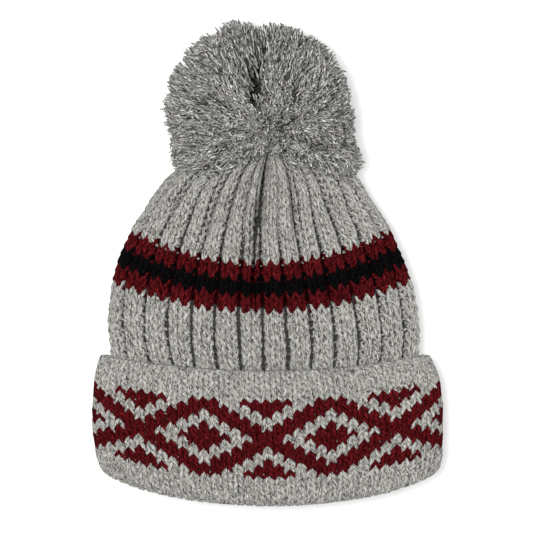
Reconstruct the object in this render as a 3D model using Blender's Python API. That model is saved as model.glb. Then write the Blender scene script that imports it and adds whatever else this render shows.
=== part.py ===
"""A chunky knitted hat with a turned-up cuff and a pompom, lying on its back on a flat surface.

Metres, +Z up. The front of the hat faces +Z, the open end faces -Y and the pompom lies towards +Y.
The origin is on the surface that the hat lies on, under the middle of its length and width.

The fabric is one ribbed tube. It is knitted in five bands of yarn, which are five pieces here, and it
is drawn together at the crown. At the open end the fabric turns outwards and back up as the cuff.
"""

import math
from bisect import bisect_right
from collections import namedtuple

import bmesh
import bpy
import numpy as np
from mathutils import Vector

# Fabric and clearances
WALL = 0.0055  # thickness of the knitted fabric
CUFF_GAP = 0.0010  # between the cuff and the body inside it
SEAM_GAP = 0.0003  # between pieces that meet end to end

# Cuff, laid flat
CUFF_WIDTH = 0.230
CUFF_LOFT = 0.054  # height above the surface, front and back layers together
CUFF_HEIGHT = 0.088  # from the hem to the cuff's upper edge, along the middle of the front

# Body and crown
BODY_WIDTH = 0.2065  # just above the cuff
BODY_LOFT = 0.046
BELOW_STRIPE = 0.037  # from the cuff's upper edge to the stripe, along the middle of the front
STRIPE_BAND = 0.0104  # length of each of the stripe's three bands
CROWN_LENGTH = 0.0753  # from the stripe to the gather, along the middle of the front
GATHER_RADIUS = 0.011  # where the crown is drawn together

# Ribs
RIB_COUNT = 28
RIB_DEPTH_OF_WALL = 0.58
RIB_DEPTH_OF_WIDTH = 0.26  # of a rib's width, which limits the depth where ribs crowd together

# Neck of the crown, with the yarn wound around it
NECK_RADIUS = 0.0065
NECK_LENGTH = 0.0075
NECK_LEAD = 0.0014  # length over which the crown narrows to the neck
TIE_TURNS = 3
TIE_YARN_RADIUS = 0.0016
TIE_COLUMNS = 16
TIE_POINTS_PER_TURN = 4

# Pompom
POMPOM_REACH = 0.0725  # from its heart to its far side
POMPOM_LOFT = 0.078
POMPOM_LOCKS = 13  # around the heart in each tier
LOCK_RELIEF = 0.07  # share of the reach by which a lock stands over the furrow beside it
PARTING_ANGLE = 97  # degrees from +X, where the locks part on the front
PARTING_HALF_WIDTH = 9  # degrees
PARTING_DEPTH = 0.16  # share of the loft
HEART_BEYOND_NECK = 0.0045
POMPOM_DIMPLE = 0.66  # height of the middle of the front, as a share of the loft
POMPOM_CLEARANCE = 0.0006

# Section shape: exponents of a superellipse, 2 for an ellipse and more for a squarer one
FRONT_FULLNESS = 2.35
BACK_FULLNESS = 4.2
PRESSED = 0.0008  # how much the back is flattened where it lies on the surface
POINTS_IN_CURVE = 360

# Each row is a course of the hat at a share of the way along it. The courses aren't straight: their
# ends lie further up than their middle by the rise, which is a share of the width. Underside is how
# far the back is off the surface, as a share of the loft.
Course = namedtuple("Course", "along width loft underside rise corner lean")
CUFF_COURSES = (
    # share of CUFF_HEIGHT, of CUFF_WIDTH, of CUFF_LOFT
    Course(0.00, 0.965, 0.90, 0.0, 0.074, 0.024, 0.006),
    Course(0.22, 0.992, 0.99, 0.0, 0.070, 0.014, 0.002),
    Course(0.50, 1.000, 1.00, 0.0, 0.060, 0.006, -0.001),
    Course(0.80, 0.985, 0.98, 0.0, 0.050, 0.002, -0.004),
    Course(1.00, 0.942, 0.92, 0.0, 0.044, 0.000, -0.009),
)
BODY_COURSES = (
    # share of the way from the cuff's upper edge to the gather, of BODY_WIDTH, of BODY_LOFT
    Course(0.100, 1.000, 0.96, 0.00, 0.062, 0.0, -0.014),
    Course(0.261, 0.960, 1.04, 0.00, 0.100, 0.0, -0.020),
    Course(0.477, 0.843, 1.06, 0.00, 0.108, 0.0, -0.023),
    Course(0.640, 0.722, 1.00, 0.00, 0.092, 0.0, -0.023),
    Course(0.797, 0.604, 0.90, 0.08, 0.067, 0.0, -0.016),
    Course(0.910, 0.446, 0.78, 0.22, 0.032, 0.0, -0.008),
    Course(0.973, 0.255, 0.62, 0.40, 0.010, 0.0, -0.002),
)
CUFF_ROWS = 4
BODY_ROWS = 3
CROWN_ROWS = 6

# Place across one rib, and how deep the fabric lies there as a share of the rib's depth
RibPoint = namedtuple("RibPoint", "across depth")
RIB_PROFILE = (
    RibPoint(0.00, 1.00),
    RibPoint(0.13, 0.20),
    RibPoint(0.50, 0.00),
    RibPoint(0.87, 0.20),
)
CUFF_COLUMNS = 72
INNER_COLUMNS_PER_RIB = 2

# Reach of the pompom around its heart, by the angle in degrees from +X, as a share of POMPOM_REACH
Reach = namedtuple("Reach", "angle share")
POMPOM_OUTLINE = (
    Reach(-90, 0.18),
    Reach(-62, 0.30),
    Reach(-47, 0.46),
    Reach(-34, 0.74),
    Reach(-23, 0.91),
    Reach(0, 0.77),
    Reach(32, 0.84),
    Reach(62, 0.95),
    Reach(92, 1.00),
    Reach(130, 1.05),
    Reach(155, 0.99),
    Reach(172, 0.93),
    Reach(186, 0.87),
    Reach(202, 0.90),
    Reach(212, 0.76),
    Reach(222, 0.54),
    Reach(236, 0.36),
    Reach(270, 0.18),
)
# Profile of the pompom from the dimple over its heart out to its rim and under to its foot: how far
# out as a share of the reach, and how high as a share of the loft. Tier tells which locks cover it,
# and tip is how near the place is to the tips of those locks.
Ring = namedtuple("Ring", "out high tier tip")
POMPOM_PROFILE = (
    Ring(0.10, 0.76, 0, 0.0),
    Ring(0.24, 0.90, 0, 0.5),
    Ring(0.42, 0.99, 0, 1.0),
    Ring(0.47, 0.95, 1, 0.1),
    Ring(0.63, 0.93, 1, 0.6),
    Ring(0.75, 0.86, 1, 1.0),
    Ring(0.79, 0.78, 2, 0.1),
    Ring(0.91, 0.68, 2, 0.6),
    Ring(0.98, 0.54, 2, 1.0),
    Ring(0.97, 0.44, 3, 0.2),
    Ring(1.00, 0.30, 3, 0.7),
    Ring(0.93, 0.15, 3, 1.0),
    Ring(0.80, 0.03, 4, 0.5),
    Ring(0.66, 0.00, 4, 1.0),
)
LOCK_COLUMNS = 4

GREY = (0.31, 0.31, 0.29)
RED = (0.13, 0.010, 0.012)
BLACK = (0.008, 0.008, 0.009)
YARN_ROUGHNESS = 0.95

FOLD_RADIUS = WALL + CUFF_GAP / 2  # outside of the hem, where the fabric turns back on itself
STRIPE_START = CUFF_HEIGHT + BELOW_STRIPE  # from the hem, like the next one
HAT_LENGTH = STRIPE_START + 3 * STRIPE_BAND + CROWN_LENGTH
HEART_FROM_HEM = HAT_LENGTH + NECK_LENGTH + HEART_BEYOND_NECK
HEM_Y = -(HEART_FROM_HEM + POMPOM_REACH) / 2
GATHER_Y = HEM_Y + HAT_LENGTH
HEART_Y = HEM_Y + HEART_FROM_HEM
NECK_HEIGHT = GATHER_RADIUS + 0.50 * BODY_LOFT  # of the neck's axis above the surface


def smooth_between(stations, values, at):
    """Value between the stations of a table, on a cubic that doesn't overshoot its rows."""
    i = min(max(bisect_right(stations, at) - 1, 0), len(stations) - 2)
    spans = [b - a for a, b in zip(stations, stations[1:])]
    slopes = [(b - a) / span for a, b, span in zip(values, values[1:], spans)]

    def tangent(k):
        if k == 0 or k == len(stations) - 1:
            return slopes[0] if k == 0 else slopes[-1]
        before, after = slopes[k - 1], slopes[k]
        return 0.0 if before * after <= 0 else 2 * before * after / (before + after)

    t = min(max((at - stations[i]) / spans[i], 0.0), 1.0)
    start = (1 + 2 * t) * (1 - t) ** 2 * values[i] + t * (1 - t) ** 2 * spans[i] * tangent(i)
    end = (3 - 2 * t) * t * t * values[i + 1] - (1 - t) * t * t * spans[i] * tangent(i + 1)
    return start + end


# Span is the half width that the rise is measured on: a surface inside another keeps the outer one's
Section = namedtuple("Section", "y half_width span half_loft underside rise corner lean")


def cuff_section(from_hem):
    """Outer face of the cuff at a distance from the hem, measured up the middle of the front."""
    share = from_hem / CUFF_HEIGHT
    stations = [course.along for course in CUFF_COURSES]

    def read(column):
        return smooth_between(stations, [getattr(course, column) for course in CUFF_COURSES], share)

    return Section(
        y=HEM_Y + from_hem,
        half_width=read("width") * CUFF_WIDTH / 2,
        span=read("width") * CUFF_WIDTH / 2,
        half_loft=read("loft") * CUFF_LOFT / 2,
        underside=read("underside") * CUFF_LOFT - PRESSED,
        rise=read("rise") * CUFF_WIDTH,
        corner=read("corner") * CUFF_WIDTH,
        lean=read("lean") * CUFF_WIDTH,
    )


def inset(section, depth):
    """The section of a surface that lies this deep inside another."""
    return section._replace(
        half_width=section.half_width - depth,
        half_loft=section.half_loft - depth,
        underside=section.underside + depth,
    )


def gather_section():
    """The crown's outer face where it is drawn together."""
    return Section(
        y=GATHER_Y,
        half_width=GATHER_RADIUS,
        span=GATHER_RADIUS,
        half_loft=GATHER_RADIUS,
        underside=NECK_HEIGHT - GATHER_RADIUS,
        rise=0.0,
        corner=0.0,
        lean=0.0,
    )


def body_section(from_hem):
    """Outer face of the body at a distance from the hem: inside the cuff it follows the cuff."""
    if from_hem <= CUFF_HEIGHT:
        return inset(cuff_section(from_hem), WALL + CUFF_GAP)
    share = (from_hem - CUFF_HEIGHT) / (HAT_LENGTH - CUFF_HEIGHT)
    first = inset(cuff_section(CUFF_HEIGHT), WALL + CUFF_GAP)
    last = gather_section()
    stations = [0.0, *(course.along for course in BODY_COURSES), 1.0]

    def read(start, column, unit, end, offset=0.0):
        values = [getattr(course, column) * unit + offset for course in BODY_COURSES]
        return smooth_between(stations, [start, *values, end], share)

    return Section(
        y=HEM_Y + from_hem,
        half_width=read(first.half_width, "width", BODY_WIDTH / 2, last.half_width),
        span=read(first.span, "width", BODY_WIDTH / 2, last.span),
        half_loft=read(first.half_loft, "loft", BODY_LOFT / 2, last.half_loft),
        underside=read(first.underside, "underside", BODY_LOFT, last.underside, -PRESSED),
        rise=read(first.rise, "rise", BODY_WIDTH, last.rise),
        corner=read(first.corner, "corner", BODY_WIDTH, last.corner),
        lean=read(first.lean, "lean", BODY_WIDTH, last.lean),
    )


def section_curve(section):
    """A closed curve around a section from the middle of its front, with the length along it."""
    turn = np.linspace(0.0, 2 * math.pi, POINTS_IN_CURVE + 1)
    sine, cosine = np.sin(turn), np.cos(turn)
    fullness = np.where(cosine >= 0, FRONT_FULLNESS, BACK_FULLNESS)
    x = section.half_width * np.sign(sine) * np.abs(sine) ** (2 / fullness)
    z = section.half_loft * np.sign(cosine) * np.abs(cosine) ** (2 / fullness)
    length = np.concatenate([[0.0], np.cumsum(np.hypot(np.diff(x), np.diff(z)))])
    return x, z, length


def ring_points(section, places, grooves, inward=0.0):
    """Points on a section at shares of the way around it.

    Each is sunk straight into the fabric by its own groove, and the whole ring is drawn inward.
    """
    curve_x, curve_z, length = section_curve(section)
    at = np.asarray(places) * length[-1]
    step = length[-1] / POINTS_IN_CURVE

    def on_curve(where):
        where = where % length[-1]
        return np.interp(where, length, curve_x), np.interp(where, length, curve_z)

    (x0, z0), (x1, z1), (x, z) = on_curve(at - step), on_curve(at + step), on_curve(at)
    size = np.hypot(x1 - x0, z1 - z0)
    x, z = x + grooves * (z1 - z0) / size, z - grooves * (x1 - x0) / size
    x *= 1 - inward / section.half_width
    z *= 1 - inward / section.half_loft
    across = np.clip(x / section.span, -1, 1)
    y = section.y + section.rise * across**2 + section.corner * across**6
    height = section.underside + section.half_loft + z
    return np.stack([section.lean + x, y, np.maximum(height, 0.0)], axis=1)


def rib_ring(section):
    """Outer face of the ribbed fabric at one course."""
    width = section_curve(section)[2][-1] / RIB_COUNT
    depth = min(RIB_DEPTH_OF_WALL * WALL, RIB_DEPTH_OF_WIDTH * width)
    places = [(rib + point.across) / RIB_COUNT for rib in range(RIB_COUNT) for point in RIB_PROFILE]
    grooves = [point.depth * depth for _ in range(RIB_COUNT) for point in RIB_PROFILE]
    return ring_points(section, places, np.array(grooves))


def plain_ring(section, columns, inward=0.0):
    """A ring with evenly spaced columns and no ribs."""
    return ring_points(section, np.arange(columns) / columns, np.zeros(columns), inward)


def yarn_material(name, colour):
    """A Principled material for one piece's yarn."""
    made = bpy.data.materials.new(name)
    made.use_nodes = True
    shader = made.node_tree.nodes["Principled BSDF"]
    shader.inputs["Base Color"].default_value = (*colour, 1.0)
    shader.inputs["Roughness"].default_value = YARN_ROUGHNESS
    return made


def bridge(mesh, first, second):
    """Joins two closed rings whose counts of vertices divide each other."""
    if len(first) < len(second):
        first, second = second, first
    ratio = len(first) // len(second)
    for k, corner in enumerate(second):
        following = second[(k + 1) % len(second)]
        fan = [first[(k * ratio + step) % len(first)] for step in range(ratio + 1)]
        middle = (ratio + 1) // 2
        for step in range(ratio):
            pivot = corner if step < middle else following
            mesh.faces.new((fan[step], fan[step + 1], pivot))
        mesh.faces.new((corner, fan[middle], following))


def loft(mesh, rings):
    """Skins a stack of rings and returns their vertices."""
    made = [[mesh.verts.new(point) for point in ring] for ring in rings]
    for lower, upper in zip(made, made[1:]):
        bridge(mesh, lower, upper)
    return made


def close(mesh, ring, centre):
    """Caps a ring with a fan to a point."""
    tip = mesh.verts.new(centre)
    for k, corner in enumerate(ring):
        mesh.faces.new((corner, ring[(k + 1) % len(ring)], tip))


def finish(mesh, name, colour, place=(0.0, 0.0, 0.0)):
    """Turns a bmesh into a smooth-shaded object, with its own origin at a place."""
    bmesh.ops.recalc_face_normals(mesh, faces=mesh.faces)
    bmesh.ops.translate(mesh, vec=-Vector(place), verts=mesh.verts)
    data = bpy.data.meshes.new(name)
    mesh.to_mesh(data)
    mesh.free()
    data.materials.append(yarn_material(f"{name}_yarn", colour))
    data.shade_smooth()
    made = bpy.data.objects.new(name, data)
    made.location = place
    bpy.context.scene.collection.objects.link(made)
    return made


def centre_of(ring, beyond=0.0):
    """Middle of a ring of points, moved up the hat."""
    middle = np.mean(ring, axis=0)
    return (middle[0], middle[1] + beyond, middle[2])


def cuff_places():
    """Distances from the hem of the courses that are modelled along the cuff."""
    return np.linspace(FOLD_RADIUS, CUFF_HEIGHT, CUFF_ROWS + 1)


def between_seams(start, end, rows):
    """Distances from the hem of a band's courses, with half a seam's gap left at both ends."""
    return np.linspace(start + SEAM_GAP / 2, end - SEAM_GAP / 2, rows + 1)


def make_band(name, colour, places):
    """One open band of the ribbed tube, through courses at these distances from the hem."""
    mesh = bmesh.new()
    sections = [body_section(place) for place in places]
    outer = loft(mesh, [rib_ring(section) for section in sections])
    columns = INNER_COLUMNS_PER_RIB * RIB_COUNT
    inner = loft(mesh, [plain_ring(section, columns, WALL) for section in sections])
    bridge(mesh, outer[0], inner[0])
    bridge(mesh, outer[-1], inner[-1])
    return finish(mesh, name, colour)


def make_crown():
    """The last band of the tube, drawn together into a neck and closed."""
    places = np.linspace(HAT_LENGTH - CROWN_LENGTH + SEAM_GAP / 2, HAT_LENGTH, CROWN_ROWS + 1)
    sections = [body_section(place) for place in places]
    outer = [rib_ring(section) for section in sections]
    columns = INNER_COLUMNS_PER_RIB * RIB_COUNT
    cavity = [section for section in sections if section.half_loft > 2 * WALL]
    inner = [plain_ring(section, columns, WALL) for section in cavity]

    mesh = bmesh.new()
    outer_rings = loft(mesh, [*outer, neck_ring(NECK_LEAD), neck_ring(NECK_LENGTH)])
    inner_rings = loft(mesh, inner)
    bridge(mesh, outer_rings[0], inner_rings[0])
    close(mesh, outer_rings[-1], centre_of(neck_ring(NECK_LENGTH)))
    close(mesh, inner_rings[-1], centre_of(inner[-1], WALL / 2))
    return finish(mesh, "crown", GREY)


def neck_ring(beyond):
    """A ring of the neck, this far beyond the gather, with one column for each rib."""
    turn = 2 * math.pi * np.arange(RIB_COUNT) / RIB_COUNT
    return disc_ring(turn, NECK_RADIUS, GATHER_Y + beyond)


def disc_ring(turn, radius, y):
    """A ring of points around the neck's axis."""
    height = NECK_HEIGHT + radius * np.cos(turn)
    return np.stack([radius * np.sin(turn), np.full(len(turn), y), height], axis=1)


def make_cuff():
    """The turned-up cuff with its hem: a J in section, whose short end meets the body's end."""
    fold_steps = 4
    places = cuff_places()
    rings = []

    def add(from_hem, depth):
        rings.append(plain_ring(cuff_section(from_hem), CUFF_COLUMNS, depth))

    rounding = WALL * 0.28
    add(CUFF_HEIGHT - rounding, WALL)
    for place in places[-2::-1]:
        add(place, WALL)
    for step in range(1, fold_steps // 2):
        turn = math.pi * step / (fold_steps // 2)
        add(FOLD_RADIUS - CUFF_GAP / 2 * math.sin(turn), FOLD_RADIUS - CUFF_GAP / 2 * math.cos(turn))
    add(FOLD_RADIUS, WALL + CUFF_GAP)
    add(FOLD_RADIUS, 2 * FOLD_RADIUS)
    for step in range(1, fold_steps):
        turn = math.pi * step / fold_steps
        add(FOLD_RADIUS * (1 - math.sin(turn)), FOLD_RADIUS * (1 + math.cos(turn)))
    for place in places[:-1]:
        add(place, 0.0)
    add(CUFF_HEIGHT - rounding, 0.0)
    add(CUFF_HEIGHT, WALL / 2)

    mesh = bmesh.new()
    made = loft(mesh, rings)
    bridge(mesh, made[-1], made[0])
    return finish(mesh, "cuff", GREY)


def make_tie():
    """The yarn wound around the neck, its turns pressed into one ring."""
    inner_radius = NECK_RADIUS + SEAM_GAP
    start = GATHER_Y + NECK_LEAD + SEAM_GAP
    length = GATHER_Y + NECK_LENGTH - start
    profile = [(start + length, inner_radius), (start, inner_radius)]
    steps = TIE_TURNS * TIE_POINTS_PER_TURN
    for step in range(steps + 1):
        bulge = abs(math.sin(math.pi * TIE_TURNS * step / steps))
        profile.append((start + length * step / steps, inner_radius + TIE_YARN_RADIUS * (1 + bulge)))
    turn = 2 * math.pi * np.arange(TIE_COLUMNS) / TIE_COLUMNS
    mesh = bmesh.new()
    made = loft(mesh, [disc_ring(turn, radius, y) for y, radius in profile])
    bridge(mesh, made[-1], made[0])
    return finish(mesh, "gather_tie", GREY, (0.0, GATHER_Y, NECK_HEIGHT))


def pompom_reach(angle):
    """How far the pompom reaches from its heart in a direction, in degrees from +X."""
    angle = (angle + 90) % 360 - 90
    share = smooth_between([r.angle for r in POMPOM_OUTLINE], [r.share for r in POMPOM_OUTLINE], angle)
    return share * POMPOM_REACH


def lock_relief(lock_phase, ring):
    """1 on the back of a lock and less in the furrow beside it, least near the locks' tips."""
    ridge = abs(math.sin(math.pi * (lock_phase + 0.5 * (ring.tier % 2))))
    return 1 - LOCK_RELIEF * (1 - ridge) * (0.5 + ring.tip)


def parting(angle, ring):
    """How deep the locks' parting is at a place on the front, as a share of the loft."""
    off = abs(angle - PARTING_ANGLE) / PARTING_HALF_WIDTH
    return PARTING_DEPTH * max(0.0, 1 - off) if ring.high > 0.5 else 0.0


def pompom_ring(ring, columns):
    """One ring of points around the pompom's heart."""
    points = []
    for column in range(columns):
        angle = 360 * column / columns
        relief = lock_relief(column / LOCK_COLUMNS, ring)
        out = ring.out * relief * pompom_reach(angle)
        high = ring.high * relief - parting(angle, ring) if ring.high > 0.5 else ring.high
        turn = math.radians(angle)
        points.append((out * math.cos(turn), HEART_Y + out * math.sin(turn), POMPOM_LOFT * high))
    return points


def make_pompom():
    """The pompom: tiers of locks that spread from a dimple over its heart, fused to one head."""
    mesh = bmesh.new()
    made = loft(mesh, [pompom_ring(ring, POMPOM_LOCKS * LOCK_COLUMNS) for ring in POMPOM_PROFILE])
    close(mesh, made[0], (0.0, HEART_Y, POMPOM_LOFT * POMPOM_DIMPLE))
    close(mesh, made[-1], (0.0, HEART_Y, 0.0))
    pompom = finish(mesh, "pompom", GREY, (0.0, HEART_Y, 0.0))
    cut = pompom.modifiers.new("room_for_crown", "BOOLEAN")
    cut.operation = "DIFFERENCE"
    cut.solver = "EXACT"
    cut.object = make_crown_room()
    return pompom


def make_crown_room():
    """Cutter: the crown, its neck and the tie, all with the pompom's clearance around them."""
    columns = 2 * RIB_COUNT
    start = HAT_LENGTH - CROWN_LENGTH
    sections = [body_section(place) for place in np.linspace(start, HAT_LENGTH, CROWN_ROWS + 1)]
    rings = [plain_ring(section, columns, -POMPOM_CLEARANCE) for section in sections]
    for ring in rings:
        ring[:, 1] += POMPOM_CLEARANCE
    tie_radius = NECK_RADIUS + SEAM_GAP + 2 * TIE_YARN_RADIUS + POMPOM_CLEARANCE
    turn = 2 * math.pi * np.arange(columns) / columns
    rings.append(disc_ring(turn, tie_radius, GATHER_Y + 2 * POMPOM_CLEARANCE))
    rings.append(disc_ring(turn, tie_radius, GATHER_Y + NECK_LENGTH + SEAM_GAP))
    mesh = bmesh.new()
    made = loft(mesh, rings)
    close(mesh, made[0], centre_of(rings[0]))
    close(mesh, made[-1], centre_of(rings[-1]))
    cutter = finish(mesh, "crown_room", GREY)
    cutter.hide_render = True
    cutter.display_type = "WIRE"
    return cutter


def make_hat():
    """Builds every piece, from the hem to the pompom."""
    inside_cuff = [FOLD_RADIUS + SEAM_GAP, *cuff_places()[1:]]
    above_cuff = between_seams(CUFF_HEIGHT, STRIPE_START, BODY_ROWS)[1:]
    seams = [STRIPE_START + band * STRIPE_BAND for band in range(4)]
    make_cuff()
    make_band("body_lower", GREY, [*inside_cuff, *above_cuff])
    make_band("stripe_lower_red", RED, between_seams(seams[0], seams[1], 1))
    make_band("stripe_black", BLACK, between_seams(seams[1], seams[2], 1))
    make_band("stripe_upper_red", RED, between_seams(seams[2], seams[3], 1))
    make_crown()
    make_tie()
    make_pompom()


for leftover in list(bpy.data.objects):
    bpy.data.objects.remove(leftover)
make_hat()
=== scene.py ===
"""Chunky ribbed beanie with a turned-up cuff, a tricolour stripe and a pompom, lying on its back.

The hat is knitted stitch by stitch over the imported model's own surfaces: plain knit down the
outside of the cuff, round the fold of the hem, and ribbing up the inside and on to the gathered
crown. All sizes are in metres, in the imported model's frame.
"""

from __future__ import annotations
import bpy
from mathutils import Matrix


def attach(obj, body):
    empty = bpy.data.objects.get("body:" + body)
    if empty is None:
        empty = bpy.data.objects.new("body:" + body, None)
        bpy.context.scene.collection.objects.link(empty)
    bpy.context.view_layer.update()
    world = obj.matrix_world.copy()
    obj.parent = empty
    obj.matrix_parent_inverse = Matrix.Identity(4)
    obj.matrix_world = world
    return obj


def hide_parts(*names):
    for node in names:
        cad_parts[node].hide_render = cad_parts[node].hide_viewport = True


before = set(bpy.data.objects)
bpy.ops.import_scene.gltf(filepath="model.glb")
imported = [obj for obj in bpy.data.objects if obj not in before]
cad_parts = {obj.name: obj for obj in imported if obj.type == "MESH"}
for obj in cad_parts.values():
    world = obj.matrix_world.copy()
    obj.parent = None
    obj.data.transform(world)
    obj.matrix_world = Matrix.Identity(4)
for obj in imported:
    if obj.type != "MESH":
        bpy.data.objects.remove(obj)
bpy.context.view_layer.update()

import logging
import math
from bisect import bisect_right
from dataclasses import dataclass, field, replace
from enum import Enum

import bpy
import numpy as np

LOG = logging.getLogger("beanie")
BODY = "root"
SEED = 20
MARL_SHIFT = 0.731  # from one row of knitting to the next, along the yarn

Colour = tuple[float, float, float]
Point = tuple[float, float, float]
Socket = bpy.types.NodeSocket


class Tint(Enum):
    """The yarns that the hat is knitted with."""

    GREY = "grey"
    RED = "red"
    BLACK = "black"


# ---------------------------------------------------------------- the hat's surfaces


def eased(share: np.ndarray) -> np.ndarray:
    """A share from 0 to 1 with a soft start and a soft end."""
    return share * share * (3 - 2 * share)


def path_lengths(points: np.ndarray) -> np.ndarray:
    """Distances along a line of points from its first one."""
    return np.concatenate([[0.0], np.cumsum(np.linalg.norm(np.diff(points, axis=0), axis=1))])


@dataclass(frozen=True)
class Course:
    """One row of a table of sections: a place along the fabric and shares of the nominal sizes.

    The underside is how far the back is off the floor. The ends of the row lie further up the hat
    than its middle by the rise, and its corners by the corner too. It is shifted by the lean.
    """

    along: float
    width: float
    loft: float
    underside: float
    rise: float
    corner: float
    lean: float


@dataclass(frozen=True)
class Section:
    """A closed outline across the hat, in metres.

    The rise and the corner are measured on the span, a half width that inner surfaces share with
    the outer one.
    """

    y: float
    half_width: float
    span: float
    half_loft: float
    underside: float
    rise: float
    corner: float
    lean: float

    def inset(self, depth: float) -> Section:
        """The section of a surface inside this one.

        Args:
            depth: How deep it lies.

        Returns:
            Its section.
        """
        return replace(
            self,
            half_width=self.half_width - depth,
            half_loft=self.half_loft - depth,
            underside=self.underside + depth,
        )


def smooth_between(stations: list[float], values: list[float], at: float) -> float:
    """Reads a table on a cubic that doesn't overshoot its rows.

    Args:
        stations: Rising places of the table's rows.
        values: The rows' values.
        at: The place to read.

    Returns:
        The value there.
    """
    i = min(max(bisect_right(stations, at) - 1, 0), len(stations) - 2)
    spans = [b - a for a, b in zip(stations, stations[1:])]
    slopes = [(b - a) / span for a, b, span in zip(values, values[1:], spans)]

    def tangent(k: int) -> float:
        """Slope of the cubic at a row.

        Args:
            k: The row's number.

        Returns:
            The slope.
        """
        if k in (0, len(stations) - 1):
            return slopes[0] if k == 0 else slopes[-1]
        before, after = slopes[k - 1], slopes[k]
        return 0.0 if before * after <= 0 else 2 * before * after / (before + after)

    t = min(max((at - stations[i]) / spans[i], 0.0), 1.0)
    start = (1 + 2 * t) * (1 - t) ** 2 * values[i] + t * (1 - t) ** 2 * spans[i] * tangent(i)
    end = (3 - 2 * t) * t * t * values[i + 1] - (1 - t) * t * t * spans[i] * tangent(i + 1)
    return start + end


def cuff_courses() -> tuple[Course, ...]:
    """Sections of the cuff's outer face.

    Returns:
        The courses from the hem to its upper edge, as shares of the cuff's height.
    """
    return (
        Course(0.00, 0.965, 0.90, 0.0, 0.074, 0.024, 0.006),
        Course(0.22, 0.992, 0.99, 0.0, 0.070, 0.014, 0.002),
        Course(0.50, 1.000, 1.00, 0.0, 0.060, 0.006, -0.001),
        Course(0.80, 0.985, 0.98, 0.0, 0.050, 0.002, -0.004),
        Course(1.00, 0.942, 0.92, 0.0, 0.044, 0.000, -0.009),
    )


def body_courses() -> tuple[Course, ...]:
    """Sections of the body's outer face.

    Returns:
        The courses from the cuff's upper edge to the gather, as shares of the way between.
    """
    return (
        Course(0.100, 1.000, 0.96, 0.00, 0.062, 0.0, -0.014),
        Course(0.261, 0.960, 1.04, 0.00, 0.100, 0.0, -0.020),
        Course(0.477, 0.843, 1.06, 0.00, 0.108, 0.0, -0.023),
        Course(0.640, 0.722, 1.00, 0.00, 0.092, 0.0, -0.023),
        Course(0.797, 0.604, 0.90, 0.08, 0.067, 0.0, -0.016),
        Course(0.910, 0.446, 0.78, 0.22, 0.032, 0.0, -0.008),
        Course(0.973, 0.255, 0.62, 0.40, 0.010, 0.0, -0.002),
    )


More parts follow.
